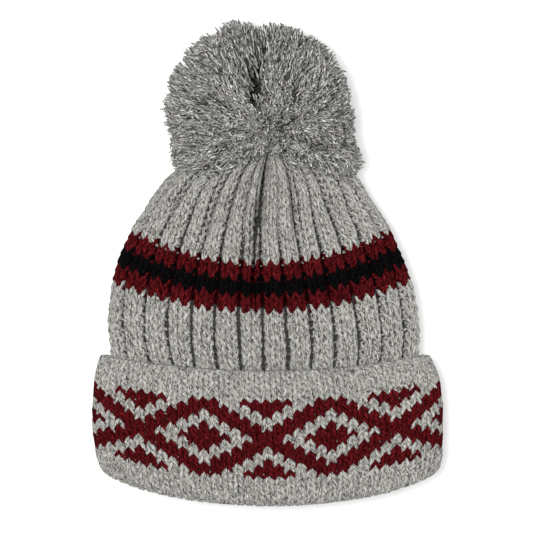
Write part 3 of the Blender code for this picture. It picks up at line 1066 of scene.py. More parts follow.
class MarledYarn:
    """The node group that gives spun yarn its plies, its marl of light and dark fibres, and slubs.

    The ramps and the noises' seeds and scales are the marl's own. The reliefs weigh the plies and
    the fibres in the height that goes to the bump.
    """

    NAME = "marled_yarn"
    PLIES = 3.0
    FIBRES_PER_METRE = 430.0
    FIBRES_AROUND = 2.3
    NOISE_ROUGHNESS = 0.62
    DARK_RAMP = (0.505, 0.59)
    LIGHT_RAMP = (0.50, 0.61)
    FURROW_RAMP = (-1.0, -0.2)
    FURROW_SHADE = 0.22
    SLUB_SHADE = 0.36
    SLUB_BASE = 0.82
    PLY_RELIEF = 0.5
    FIBRE_RELIEF = 0.8
    ROUGHNESS = 0.84
    ROUGHNESS_CHANGE = 0.14

    @classmethod
    def group(cls) -> bpy.types.NodeTree:
        """Builds the group the first time.

        Returns:
            The group.
        """
        if cls.NAME in bpy.data.node_groups:
            return bpy.data.node_groups[cls.NAME]
        made = new_group(
            cls.NAME,
            {
                "Yarn": ("NodeSocketVector", None),
                "Middle": ("NodeSocketColor", (0.3, 0.3, 0.3, 1)),
                "Dark": ("NodeSocketColor", (0.05, 0.05, 0.05, 1)),
                "Light": ("NodeSocketColor", (0.6, 0.6, 0.6, 1)),
                "Dark Share": ("NodeSocketFloat", 0.5),
                "Light Share": ("NodeSocketFloat", 0.5),
                "Fibre Length": ("NodeSocketFloat", 1.0),
                "Fibre Girth": ("NodeSocketFloat", 1.0),
                "Twist": ("NodeSocketFloat", 260.0),
            },
            {
                "Colour": "NodeSocketColor",
                "Height": "NodeSocketFloat",
                "Roughness": "NodeSocketFloat",
            },
        )
        bench = NodeBench(made)
        given, result = made.nodes["in"], made.nodes["out"]
        parts = bench.add("ShaderNodeSeparateXYZ")
        bench.link(given.outputs["Yarn"], parts.inputs[0])
        along, around = parts.outputs[0], parts.outputs[1]
        turned = bench.times(along, given.outputs["Twist"])
        twisted = bench.math("ADD", bench.times(around, 2 * math.pi), turned)
        counted = bench.times(along, cls.FIBRES_PER_METRE)
        girth = bench.math("DIVIDE", cls.FIBRES_AROUND, given.outputs["Fibre Girth"])
        place = bench.add("ShaderNodeCombineXYZ")
        bench.link(bench.math("DIVIDE", counted, given.outputs["Fibre Length"]), place.inputs[0])
        for number, wave in ((1, "COSINE"), (2, "SINE")):
            bench.link(bench.times(bench.math(wave, twisted), girth), place.inputs[number])

        def fibres(scale: float, seed: float, detail: float) -> Socket:
            """Noise drawn out along the fibres.

            Args:
                scale: Its scale.
                seed: Where in the noise it is read.
                detail: How many finer layers it has.

            Returns:
                Its strength.
            """
            noise = bench.add("ShaderNodeTexNoise", noise_dimensions="4D")
            values = {"Scale": scale, "W": seed, "Detail": detail, "Roughness": cls.NOISE_ROUGHNESS}
            bench.fill(noise, {"Vector": place.outputs[0], **values})
            return noise.outputs["Fac"]

        def stained(ground: Socket, noise: Socket, ramp: tuple[float, float], fibre: str) -> Socket:
            """The ground's colour with dark or light fibres in it."""
            share = bench.times(bench.ramp(noise, *ramp), given.outputs[f"{fibre} Share"], True)
            return bench.mix(share, ground, given.outputs[fibre])

        dark_noise = fibres(1.15, 3.1, 2.0)
        light_noise = fibres(1.30, 11.7, 2.0)
        slub = fibres(0.26, 23.0, 1.0)
        furrow = bench.ramp(bench.math("SINE", bench.times(twisted, cls.PLIES)), *cls.FURROW_RAMP)
        colour = stained(given.outputs["Middle"], light_noise, cls.LIGHT_RAMP, "Light")
        colour = stained(colour, dark_noise, cls.DARK_RAMP, "Dark")
        # Painted shade: the yarn's colour is darker in the grooves between its plies; the slubs
        # change its tone at random.
        shade = bench.scaled(furrow, cls.FURROW_SHADE, 1 - cls.FURROW_SHADE)
        shade = bench.times(shade, bench.scaled(slub, cls.SLUB_SHADE, cls.SLUB_BASE))
        tone = bench.add("ShaderNodeCombineColor")
        for socket in tone.inputs[:3]:
            bench.link(shade, socket)
        relief = bench.times(furrow, cls.PLY_RELIEF), bench.times(light_noise, cls.FIBRE_RELIEF)
        bench.fill(
            result,
            {
                "Colour": bench.mix(1.0, colour, tone.outputs[0], "MULTIPLY"),
                "Height": bench.math("ADD", *relief),
                "Roughness": bench.scaled(dark_noise, cls.ROUGHNESS_CHANGE, cls.ROUGHNESS),
            },
        )
        return made


@dataclass(frozen=True)
class YarnFinish:
    """One yarn: its colours and how strongly it is marled."""

    name: str
    middle: Colour
    dark: Colour
    light: Colour
    dark_share: float
    light_share: float
    fibre_length: float = 1.0
    fibre_girth: float = 1.0
    sheen: float = 0.10
    sheen_roughness: float = 0.6
    gloss: float = 0.12
    bump: float = 0.45
    bump_height: float = 0.0004

    def dress(self) -> bpy.types.Material:
        """Builds the yarn's material the first time.

        Returns:
            The material.
        """
        if self.name in bpy.data.materials:
            return bpy.data.materials[self.name]
        material = bpy.data.materials.new(self.name)
        material.use_nodes = True
        bench = NodeBench(material.node_tree)
        shader = material.node_tree.nodes["Principled BSDF"]
        yarn = bench.add("ShaderNodeGroup", node_tree=MarledYarn.group())
        places = bench.add("ShaderNodeUVMap", uv_map="yarn")
        bench.fill(
            yarn,
            {
                "Yarn": places.outputs[0],
                "Middle": (*self.middle, 1.0),
                "Dark": (*self.dark, 1.0),
                "Light": (*self.light, 1.0),
                "Dark Share": self.dark_share,
                "Light Share": self.light_share,
                "Fibre Length": self.fibre_length,
                "Fibre Girth": self.fibre_girth,
            },
        )
        relief = bench.add("ShaderNodeBump")
        bench.fill(
            relief,
            {
                "Strength": self.bump,
                "Distance": self.bump_height,
                "Height": yarn.outputs["Height"],
            },
        )
        bench.fill(
            shader,
            {
                "Base Color": yarn.outputs["Colour"],
                "Roughness": yarn.outputs["Roughness"],
                "Normal": relief.outputs[0],
                "Sheen Weight": self.sheen,
                "Sheen Roughness": self.sheen_roughness,
                "Specular IOR Level": self.gloss,
            },
        )
        return material


GREY_YARN = YarnFinish(
    "grey_marl_yarn", (0.345, 0.335, 0.310), (0.020, 0.020, 0.018), (0.68, 0.665, 0.625), 0.95, 0.80
)
RED_YARN = YarnFinish(
    "dark_red_yarn", (0.056, 0.0040, 0.0052), (0.005, 0.0006, 0.0007), (0.230, 0.0150, 0.020),
    0.92, 0.72, sheen=0.0, gloss=0.02,
)
BLACK_YARN = YarnFinish(
    "jet_black_yarn", (0.0024, 0.0021, 0.0024), (0.0008, 0.0008, 0.0008), (0.011, 0.009, 0.010),
    0.60, 0.45, sheen=0.0, gloss=0.02,
)
POMPOM_YARN = YarnFinish(
    "pompom_marl_yarn", (0.35, 0.347, 0.322), (0.010, 0.010, 0.009), (0.90, 0.89, 0.85), 1.0, 0.95,
    fibre_length=1.5, fibre_girth=5.0,
)
FIBRES = YarnFinish(
    "loose_fibres", (0.35, 0.345, 0.320), (0.016, 0.016, 0.014), (0.92, 0.91, 0.87), 1.0, 1.0,
    fibre_length=2.0, fibre_girth=20.0,
)
# Dark finish of the sheet in the middle of the fabric: painted shade in the furrows, the folds and
# the gaps between loops.
SHADE_SHEET_GREY = YarnFinish(
    "painted_shade_sheet", (0.046, 0.045, 0.041), (0.012, 0.012, 0.011), (0.12, 0.118, 0.110), 0.7, 0.5,
    fibre_girth=0.3, sheen=0.0, gloss=0.0,
)
# The same painted shade, for the red rows of the stripe.
SHADE_SHEET_RED = YarnFinish(
    "painted_red_shade_sheet", (0.014, 0.0014, 0.0018), (0.004, 0.0006, 0.0006), (0.030, 0.003, 0.004),
    0.7, 0.4, fibre_girth=0.3, sheen=0.0, gloss=0.0,
)
# Dark finish of the pompom's head: painted shade of its deep inside, seen in the partings and pits.
SHADED_HEAD_FINISH = YarnFinish(
    "pompom_head_painted_shade", (0.070, 0.069, 0.064), (0.006, 0.006, 0.005), (0.23, 0.228, 0.215), 1.0, 0.9,
    fibre_length=1.0, fibre_girth=0.02, sheen=0.0, gloss=0.0,
)
YARNS = {Tint.GREY: GREY_YARN, Tint.RED: RED_YARN, Tint.BLACK: BLACK_YARN}


def settle(
    piece: bpy.types.Object, finish: YarnFinish, nodes: tuple[str, ...] = ()
) -> bpy.types.Object:
    """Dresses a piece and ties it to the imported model.

    Args:
        piece: The piece.
        finish: Its yarn.
        nodes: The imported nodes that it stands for.

    Returns:
        The same piece.
    """
    piece.data.materials.append(finish.dress())
    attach(piece, BODY)
    if nodes:
        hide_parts(*nodes)
    piece.data.calc_loop_triangles()
    LOG.info("%s: %d triangles", piece.name, len(piece.data.loop_triangles))
    return piece


# ---------------------------------------------------------------- the hat's parts


@dataclass
class DiamondChart:
    """The colour chart of the cuff: a lattice of diamonds, with a smaller one inside each."""

    first_row: int = 4
    repeat: int = 12
    rows: int = 13

    def tint(self, row: int, stitch: int) -> Tint:
        """The yarn of a stitch.

        Args:
            row: Its row, from the cuff's upper edge.
            stitch: Its number around the cuff.

        Returns:
            The yarn's colour.
        """
        charted = row - self.first_row
        if not 0 <= charted < self.rows:
            return Tint.GREY
        half, middle = self.repeat // 2, self.rows // 2
        out = abs(stitch % self.repeat - half) + abs(charted - middle)
        lattice = half - 1 <= out <= half + 1
        return Tint.RED if lattice or out <= 2 or out >= 2 * half - 2 else Tint.GREY


def loop_heads(stitches: int, steps: int, half_share: float = 0.1) -> np.ndarray:
    """Which segments of a row are the heads of its loops, which the next row is drawn through."""
    middle = (np.arange(steps) + 0.5) / steps
    return np.tile(np.abs(middle - 0.5) < half_share, stitches)


@dataclass
class Cuff:
    """The turned-up cuff: plain knit with its chart, over the rolled edge and round the hem."""

    knitter: Knitter
    chart: DiamondChart = field(default_factory=DiamondChart)
    stitches: int = 72
    steps: int = 10
    sides: int = 5

    def build(self) -> list[bpy.types.Object]:
        """Knits the cuff.

        Returns:
            The grey ground and the charted stitches.
        """
        meshes = {Tint.GREY: YarnMesh(), Tint.RED: YarnMesh()}
        starts = (np.arange(self.stitches) - 0.5) / self.stitches
        widths = np.full(self.stitches, 1 / self.stitches)
        side = np.ones(self.stitches)
        heads = loop_heads(self.stitches, self.steps)

        def of_tint(row: int, tint: Tint) -> np.ndarray:
            """Which segments of a row are charted in this yarn."""
            charted = [self.chart.tint(row, stitch) is tint for stitch in range(self.stitches)]
            return np.repeat(charted, self.steps)

        for row in range(-1, self.knitter.plan.inner):
            rings, lengths = self.knitter.round(
                row, starts, widths, side, None, self.steps, self.sides
            )
            for tint, mesh in meshes.items():
                wanted = np.where(heads, of_tint(row + 1, tint), of_tint(row, tint))
                if wanted.any():
                    marl = MARL_SHIFT * row
                    mesh.add(rings, lengths, np.flatnonzero(wanted), self.steps, marl)
        ground = settle(meshes[Tint.GREY].build("cuff_knit"), GREY_YARN, ("cuff",))
        motif = settle(meshes[Tint.RED].build("cuff_diamonds"), RED_YARN)
        return [ground, motif]


@dataclass(frozen=True)
class Band:
    """Some rows of the ribbed tube that are one piece."""

    name: str
    first: int
    last: int
    tint: Tint
    slot: str
    node: str
    steps: int = 10
    sides: int = 5


@dataclass
class RibbedBody:
    """The ribbed tube: two knit stitches and one purl, from the hem's inside to the gather."""

    knitter: Knitter
    ribbing: Ribbing = field(default_factory=Ribbing)

    def bands(self) -> list[Band]:
        """The tube's pieces.

        Returns:
            Their rows and finishes, from the hem up.
        """
        plan = self.knitter.plan
        grey, red, black = Tint.GREY, Tint.RED, Tint.BLACK
        edges = plan.inner, plan.lower - 1, plan.stripe, plan.stripe + 2, plan.stripe + 4
        inside, lower, first, second, third = edges
        return [
            Band("body_inside", inside, lower, grey, "body_yarn", "", 8, 4),
            Band("body_knit", lower, first, grey, "body_yarn", "body_lower"),
            Band("stripe_lower_knit", first, second, red, "red_yarn", "stripe_lower_red"),
            Band("stripe_middle_knit", second, third, black, "black_yarn", "stripe_black"),
            Band("stripe_upper_knit", third, plan.crown, red, "red_yarn", "stripe_upper_red"),
            Band("crown_knit", plan.crown, plan.end, grey, "body_yarn", "crown"),
        ]

    def build(self) -> list[bpy.types.Object]:
        """Knits the tube.

        Returns:
            Its pieces.
        """
        ribs, purl = self.ribbing.ribs, self.ribbing.purl_share
        knit = (1 - purl) / 2
        within = (-purl / 2, purl / 2, purl / 2 + knit)
        starts = np.array([(rib + at) / ribs for rib in range(ribs) for at in within])
        widths = np.tile([purl / ribs, knit / ribs, knit / ribs], ribs)
        side = np.tile([1.0, -1.0, -1.0], ribs)
        bands = self.bands()
        meshes = [YarnMesh() for _ in bands]
        for n, band in enumerate(bands):
            heads = loop_heads(len(starts), band.steps)
            after = meshes[min(n + 1, len(bands) - 1)]
            for row in range(band.first, band.last):
                rings, lengths = self.knitter.round(
                    row, starts, widths, side, self.ribbing, band.steps, band.sides
                )
                above = after if row == band.last - 1 else meshes[n]
                for mesh, wanted in ((meshes[n], ~heads), (above, heads)):
                    marl = MARL_SHIFT * row
                    mesh.add(rings, lengths, np.flatnonzero(wanted), band.steps, marl)
        pieces = []
        for band, mesh in zip(bands, meshes):
            nodes = (band.node,) if band.node else ()
            pieces.append(settle(mesh.build(band.name), YARNS[band.tint], nodes))
        return pieces


@dataclass
class ShadeSheet:
    """A thin dark sheet in the middle of the fabric: painted shade behind the gaps of its loops,
    along the furrows and at the bottom of the deep folds.
    """

    knitter: Knitter
    ribbing: Ribbing = field(default_factory=Ribbing)
    thickness: float = 0.0004
    under: float = 0.0011
    # The sheet follows the furrows no deeper than this, so it lies over their purl stitches: a
    # painted shadow line along each furrow.
    deepest: float = 0.0028
    deepest_in_crown: float = 0.0023
    # It follows the folds no deeper than this, so it lies over the bottom of a deep fold as painted
    # shade.
    fold_bottom: float = 0.0140
    columns: int = 224
    coarse_step: float = 3.0
    fine_step: float = 1.5
    marl: float = 0.3

    def strip(
        self, name: str, rows: np.ndarray, finish: YarnFinish, deepest: float
    ) -> bpy.types.Object:
        """Lofts the web over some rows.

        Args:
            name: Name of the piece.
            rows: The rows that it passes.
            finish: Its finish.
            deepest: How deep it follows the furrows.

        Returns:
            The strip as one closed piece.
        """
        fabric, plan = self.knitter.fabric, self.knitter.plan
        place = np.arange(self.columns) / self.columns
        sheets = []
        for shift in (-self.thickness / 2, self.thickness / 2):
            rings = []
            for row in rows:
                from_hem, depth, toward, deeper = (
                    np.full(self.columns, value[0]) for value in plan.station(np.array([row]))
                )
                around = fabric.width_around(float(from_hem[0]))
                sink = self.under + self.ribbing.sink(place, from_hem, np.array(around))
                sink = float(plan.settled(row)) * np.minimum(sink, deepest)
                folded = self.knitter.drape.sink(place, from_hem)
                sink = sink + np.minimum(folded, self.fold_bottom) + deeper * shift
                rings.append(fabric.at(place, from_hem + toward * shift, depth + sink))
            sheets.append(rings)
        rings = np.array(sheets[0] + sheets[1][::-1])
        mesh = YarnMesh()
        lengths = path_lengths(rings[:, 0])
        lengths = np.append(lengths, lengths[-1] + self.thickness)
        mesh.add(rings, lengths, np.arange(len(rings)), len(rings), self.marl)
        return settle(mesh.build(name, 1.0), finish)

    def build(self) -> list[bpy.types.Object]:
        """Lofts the web in strips.

        Returns:
            The strip under the cuff and the body, the stripe's three, and the crown's.
        """
        plan = self.knitter.plan
        low, high = plan.stripe + 0.9, plan.crown + 0.7
        lower = [
            np.arange(0, plan.hem, self.coarse_step),
            np.linspace(plan.hem, plan.inner, 2 * plan.fold_rows + 1),
            np.arange(plan.inner + self.fine_step, low - 0.5, self.fine_step),
            [low],
        ]
        upper = np.linspace(high, plan.end + 2.0, 12)
        # Each strip's dark finish is painted shade; the stripe's strips take the stripe's colours.
        strips = (
            ("shade_sheet", np.concatenate(lower), SHADE_SHEET_GREY, self.deepest),
            ("lower_red_shade_sheet", np.linspace(low, low + 2, 3), SHADE_SHEET_RED, self.deepest),
            ("black_shade_sheet", np.linspace(low + 2, low + 4, 3), BLACK_YARN, self.deepest),
            ("upper_red_shade_sheet", np.linspace(low + 4, high, 3), SHADE_SHEET_RED, self.deepest),
            ("crown_shade_sheet", upper, SHADE_SHEET_GREY, self.deepest_in_crown),
        )
        return [self.strip(*strip) for strip in strips]


@dataclass
class LooseFibres:
    """The bloom of the yarn: short fibres that lie on the knitting and stand off it."""

    length: tuple[float, float] = (0.0016, 0.0042)
    width: float = 0.00016
    lift: float = 0.42
    rooted: float = 0.15
    marl_range: float = 80
    marl_length: float = 0.003

    def build(
        self, name: str, source: bpy.types.Object, count: int, finish: YarnFinish, slot: str
    ) -> bpy.types.Object:
        """Raises fibres from a piece of knitting.

        Args:
            name: Name of the fibres.
            source: The knitting.
            count: How many fibres.
            finish: Their finish.
            slot: Their material slot; not used.

        Returns:
            The fibres as one piece.
        """
        chance = np.random.default_rng(SEED + count)
        polygons = source.data.polygons
        middles, normals = np.empty((len(polygons), 3)), np.empty((len(polygons), 3))
        for label, values in (("center", middles), ("normal", normals)):
            polygons.foreach_get(label, values.ravel())
        picked = chance.choice(len(middles), count, replace=False)
        base, up = middles[picked], normals[picked]
        beside = unit(np.cross(up, chance.normal(0, 1, (count, 3))))
        way = unit(beside + up * chance.uniform(0.1, 2 * self.lift, (count, 1)))
        long = chance.uniform(*self.length, (count, 1))
        across = unit(np.cross(way, up))
        over = np.cross(across, way)
        wide = self.width * chance.uniform(0.6, 1.4, (count, 1))
        foot = base - way * long * self.rooted
        tip = foot + way * long
        base_corners = [foot + across * wide, foot - across * wide, foot + over * wide * 1.2]
        points = np.stack([*base_corners, tip], axis=1)
        corners = np.array([[0, 1, 3], [1, 2, 3], [2, 0, 3]])
        faces = (4 * np.arange(count)[:, None, None] + corners).reshape(-1, 3)
        starts = chance.uniform(0, self.marl_range, (count, 1, 1))
        along = starts + np.array([[0.0, 0.0, self.marl_length]])
        around = np.array([[0.0, 0.33, 0.17], [0.33, 0.66, 0.5], [0.66, 1.0, 0.83]])
        yarn = np.stack(np.broadcast_arrays(along, around[None]), axis=3).reshape(-1, 2)
        columns = math.ceil(math.sqrt(count / 3))
        rows = math.ceil(count / columns)
        cell = np.stack([np.arange(count) % columns, np.arange(count) // columns], axis=1)
        local = np.stack([np.broadcast_to([0.05, 0.05, 0.95], (3, 3)), 0.1 + 0.8 * around], axis=2)
        baking = (cell[:, None, None, :] + local[None]) / np.array([columns, rows])
        maps = {"OFBake": baking.reshape(-1, 2), "yarn": yarn}
        return settle(mesh_object(name, points.reshape(-1, 3), faces, maps), finish)


@dataclass
class GatherTie:
    """The yarn wound around the gathers under the pompom."""

    form: HatForm
    turns: int = 3
    points_per_turn: int = 28
    yarn_radius: float = 0.00125
    clearance: float = 0.0003
    end_clearance: float = 0.0004
    sides: int = 8
    marl: float = 4.2
    cell_shape: float = 4.0

    def build(self) -> bpy.types.Object:
        """Winds the yarn.

        Returns:
            The wound yarn.
        """
        form = self.form
        count = self.turns * self.points_per_turn
        turn = np.linspace(0.0, 2 * math.pi * self.turns, count + 1)
        radius = form.neck_radius + self.clearance + self.yarn_radius
        start = form.gather_y + form.neck_lead + self.end_clearance + self.yarn_radius
        end = form.gather_y + form.neck_length - self.yarn_radius
        outward = np.stack([np.sin(turn), np.zeros(count + 1), np.cos(turn)], axis=1)
        points = radius * outward + np.array([0.0, 0.0, form.neck_height])
        points[:, 1] = np.linspace(start, end, count + 1)
        thickness = np.full(count + 1, self.yarn_radius)
        rings, lengths = tube(points, outward, thickness, self.sides, closed=False)
        mesh = YarnMesh()
        mesh.add(rings, lengths, np.arange(count), self.points_per_turn, self.marl)
        wound = mesh.build("tie_yarn", self.cell_shape)
        return settle(wound, GREY_YARN, ("gather_tie",))


@dataclass(frozen=True)
class Crease:
    """A furrow between the pompom's locks.

    Its angle, half width and twist are in degrees around the heart. It runs from the start to the
    end, as shares of the reach, and its depth is a share of the loft. Toward the heart it turns by
    the twist and widens by the power of the narrowing. The spread is how far it pushes the strands
    beside it apart.
    """

    angle: float
    half_width: float
    start: float
    end: float
    depth: float
    twist: float = 0.0
    narrowing: float = 0.0
    spread: float = 0.20


@dataclass(frozen=True)
class Hollow:
    """A pit in the pompom where its locks have parted, placed from the heart."""

    x: float
    y: float
    radius: float
    depth: float


@dataclass
class Pompom:
    """The pompom: cut strands of yarn that spread in locks from the heart over the tie."""

    form: HatForm
    heart_y: float = 0.0855
    reach: float = 0.0725
    loft: float = 0.078
    heart_shift: tuple[float, float] = (0.0025, 0.0020)
    heart_scatter: float = 0.0016
    lowest_root: float = 0.009
    root_rise: float = 0.044
    strands: int = 12400
    locks: int = 96
    lock_pull: tuple[float, float] = (0.12, 0.30)
    lock_scatter: float = 6.0
    lock_lean: float = 0.22
    strand_lean: float = 0.24
    lock_dip: float = 0.0120
    lock_size: float = 0.0085
    parting: float = 0.44
    bend: float = 0.0042
    strand_radius: float = 0.00062
    marks: tuple[float, ...] = (0.58, 0.73, 0.86, 0.95, 1.0)
    swell: tuple[float, ...] = (0.9, 1.0, 1.06, 1.05, 0.70)
    sides: int = 3
    curl: float = 0.0013
    curl_turn: float = 2.1
    head_share: float = 0.76
    head_columns: int = 132
    head_rows: int = 44
    head_marl: float = 9.0
    turn_step: float = 137.50776
    front: float = 0.03
    floor_clearance: float = 0.0012
    highest: float = 0.0785
    outline: tuple[tuple[float, float], ...] = (
        (-90, 0.18), (-62, 0.30), (-47, 0.46), (-34, 0.74), (-23, 0.91), (0, 0.77), (32, 0.84),
        (62, 0.95), (92, 1.00), (130, 1.05), (155, 0.99), (172, 0.93), (186, 0.87), (202, 0.90),
        (212, 0.76), (222, 0.54), (236, 0.36), (270, 0.18),
    )
    profile: tuple[tuple[float, float], ...] = (
        (0.00, 0.66), (0.10, 0.76), (0.24, 0.90), (0.42, 0.99), (0.63, 0.93), (0.75, 0.86),
        (0.91, 0.68), (0.98, 0.54), (1.00, 0.30), (0.93, 0.15), (0.80, 0.03),
    )
    creases: tuple[Crease, ...] = (
        Crease(91.5, 11.0, 0.33, 1.10, 0.58, 40.0, 0.8, 0.58),
        Crease(20, 8.0, 0.05, 0.60, 0.22, 0.0, 0.5, 0.35),
        Crease(-18, 7.0, 0.05, 0.60, 0.18),
        Crease(-48, 13.0, 0.00, 0.80, 0.34, 0.0, 0.0, 0.40),
        Crease(-82, 16.0, 0.00, 0.70, 0.26, 0.0, 0.0, 0.30),
        Crease(150, 7.0, 0.20, 0.70, 0.12),
        Crease(205, 7.0, 0.10, 0.75, 0.14),
        Crease(232, 9.0, 0.10, 0.80, 0.22),
    )
    hollows: tuple[Hollow, ...] = (
        Hollow(-0.050, 0.019, 0.012, 0.022),
        Hollow(0.024, 0.036, 0.013, 0.022),
        Hollow(0.050, -0.012, 0.009, 0.010),
        Hollow(-0.030, -0.018, 0.008, 0.008),
        Hollow(0.002, -0.006, 0.011, 0.016),
        Hollow(0.001, 0.013, 0.007, 0.012),
    )

    def reach_at(self, angle: np.ndarray) -> np.ndarray:
        """How far the pompom reaches from its heart.

        Args:
            angle: Directions, in degrees from +X.

        Returns:
            The reach in each.
        """
        turned = (angle + 90) % 360 - 90
        stations = [mark[0] for mark in self.outline]
        values = [mark[1] for mark in self.outline]
        table = np.array([smooth_between(stations, values, at) for at in range(-90, 271)])
        return np.interp(turned, np.arange(-90, 271), table) * self.reach

    def surface(self, angle: np.ndarray, share: np.ndarray) -> np.ndarray:
        """Points on the pompom's outer form.

        Args:
            angle: Directions around the heart, in degrees from +X.
            share: Shares of the way down the profile, from the dimple to the floor.

        Returns:
            The points.
        """
        marks = np.array(self.profile)
        steps = path_lengths(marks)
        out = np.interp(share * steps[-1], steps, marks[:, 0]) * self.reach_at(angle)
        high = np.interp(share * steps[-1], steps, marks[:, 1]) * self.loft
        turn = np.radians(angle)
        return np.stack([out * np.cos(turn), self.heart_y + out * np.sin(turn), high], axis=1)

    def spread(self, count: int, turn: float) -> tuple[np.ndarray, np.ndarray]:
        """Even places over the outer form.

        Args:
            count: How many.
            turn: Angle of the first, in degrees.

        Returns:
            Their angles and their shares of the profile.
        """
        share = np.linspace(0, 1, 200)
        marks = np.array(self.profile)
        steps = path_lengths(marks)
        weight = np.interp(share * steps[-1], steps, marks[:, 0]) + 0.05
        filled = np.concatenate([[0], np.cumsum((weight[1:] + weight[:-1]) / 2)])
        picked = np.interp((np.arange(count) + 0.5) / count, filled / filled[-1], share)
        return (turn + self.turn_step * np.arange(count)) % 360, picked

    def inside_crown(self, points: np.ndarray, room: float) -> np.ndarray:
        """Finds points inside the crown.

        Args:
            points: The points.
            room: How near to the crown a point counts too.

        Returns:
            Whether each is inside it.
        """
        found = np.zeros(len(points), dtype=bool)
        for n, (x, y, z) in enumerate(points):
            section = self.form.body_section(y - room - self.form.hem_y)
            wide = abs(x - section.lean) / (section.half_width + room)
            high = abs(z - section.underside - section.half_loft) / (section.half_loft + room)
            found[n] = y < self.form.gather_y + 2 * room and wide**2.3 + high**2.3 < 1
        return found

    def pressed(self, points: np.ndarray) -> tuple[np.ndarray, np.ndarray]:
        """The points with the creases and hollows pressed into them.

        Args:
            points: Points on the outer form.

        Returns:
            The points, lowered and moved aside, and which of them are in the bottom of a crease.
        """
        points = points.copy()
        bottom = np.zeros(len(points), dtype=bool)
        for crease in self.creases:
            out = points[:, :2] - np.array([0, self.heart_y])
            direction = np.degrees(np.arctan2(out[:, 1], out[:, 0]))
            far = np.hypot(out[:, 0], out[:, 1]) / self.reach_at(direction)
            angle = crease.angle + crease.twist * (1 - far)
            half_width = crease.half_width / np.clip(far, 0.3, 1.0) ** crease.narrowing
            off = (direction - angle + 180) % 360 - 180
            begun = np.clip((far - crease.start) / 0.08, 0, 1)
            along = begun * np.clip((crease.end - far) / 0.10, 0, 1)
            near = eased(np.clip(1 - np.abs(off) / half_width, 0, 1))
            near = near * along * (points[:, 2] > self.front)
            bottom |= (near > self.parting) & (crease.depth > 0.2)
            points[:, 2] -= near * crease.depth * self.loft
            aside = np.radians(np.sign(off) * near * half_width * crease.spread)
            points[:, 0] = out[:, 0] * np.cos(aside) - out[:, 1] * np.sin(aside)
            points[:, 1] = out[:, 0] * np.sin(aside) + out[:, 1] * np.cos(aside) + self.heart_y
        for hollow in self.hollows:
            off = np.hypot(points[:, 0] - hollow.x, points[:, 1] - self.heart_y - hollow.y)
            near = eased(np.clip(1 - off / hollow.radius, 0, 1))
            points[:, 2] -= near * hollow.depth * (points[:, 2] > self.front)
        return points, bottom

    def lock_of(self, points: np.ndarray) -> tuple[np.ndarray, np.ndarray, np.ndarray]:
        """The lock at points of the outer form.

        Args:
            points: The points.

        Returns:
            Each point's lock, how deep it lies at the lock's edge, and the locks' middles.
        """
        chance = np.random.default_rng(SEED + 5)
        angle, share = self.spread(self.locks, 40.0)
        turned = angle + chance.normal(0, self.lock_scatter, self.locks)
        centres = self.surface(turned, share)
        apart = np.linalg.norm(points[:, None, :] - centres[None, :, :], axis=2)
        closest = np.partition(apart, 1, axis=1)[:, :2]
        inside = np.clip((closest[:, 1] - closest[:, 0]) / self.lock_size, 0, 1)
        front = np.clip((points[:, 2] / self.loft - 0.50) / 0.25, 0, 1)
        dip = self.lock_dip * front * (1 - inside * (2 - inside))
        return np.argmin(apart, axis=1), dip, centres

    def drawn_in(self, points: np.ndarray, dip: np.ndarray, share: np.ndarray) -> np.ndarray:
        """Draws points toward the middle of the pompom.

        Args:
            points: The points.
            dip: How far in metres each is drawn in.
            share: What share of its distance each keeps.

        Returns:
            The drawn points.
        """
        middle = np.array([0.0, self.heart_y, 0.45 * self.loft])
        far = np.linalg.norm(points - middle, axis=1)
        return middle + (points - middle) * (share - dip / np.maximum(far, 0.02))[:, None]

    def tips(self) -> tuple[np.ndarray, np.ndarray, np.ndarray]:
        """Where the strands end.

        Returns:
            The tips, the number of the lock that each strand is in, and whether it is in a crease.
        """
        chance = np.random.default_rng(SEED)
        angle, share = self.spread(self.strands, 12.0)
        angle = angle + chance.normal(0, 1.3, self.strands)
        share = np.clip(share + chance.normal(0, 0.010, self.strands), 0.0, 1.0)
        pull = chance.uniform(*self.lock_pull, self.locks)
        length = 0.980 + chance.normal(0, 0.012, self.locks)
        points = self.surface(angle, share)
        nearest, dip, centres = self.lock_of(points)
        points = points + (centres[nearest] - points) * pull[nearest][:, None]
        points, bottom = self.pressed(points)
        own = np.clip(1 + chance.normal(0, 0.022, self.strands), 0.91, 1.035)
        points = self.drawn_in(points, dip, length[nearest] * own)
        points[:, 2] = np.clip(points[:, 2], self.floor_clearance, self.highest)
        return points, nearest, bottom

    def build(self) -> list[bpy.types.Object]:
        """Cuts and spreads the strands around a solid head.

        Returns:
            The strands and the head under them.
        """
        chance = np.random.default_rng(SEED + 1)
        tips, lock, bottom = self.tips()
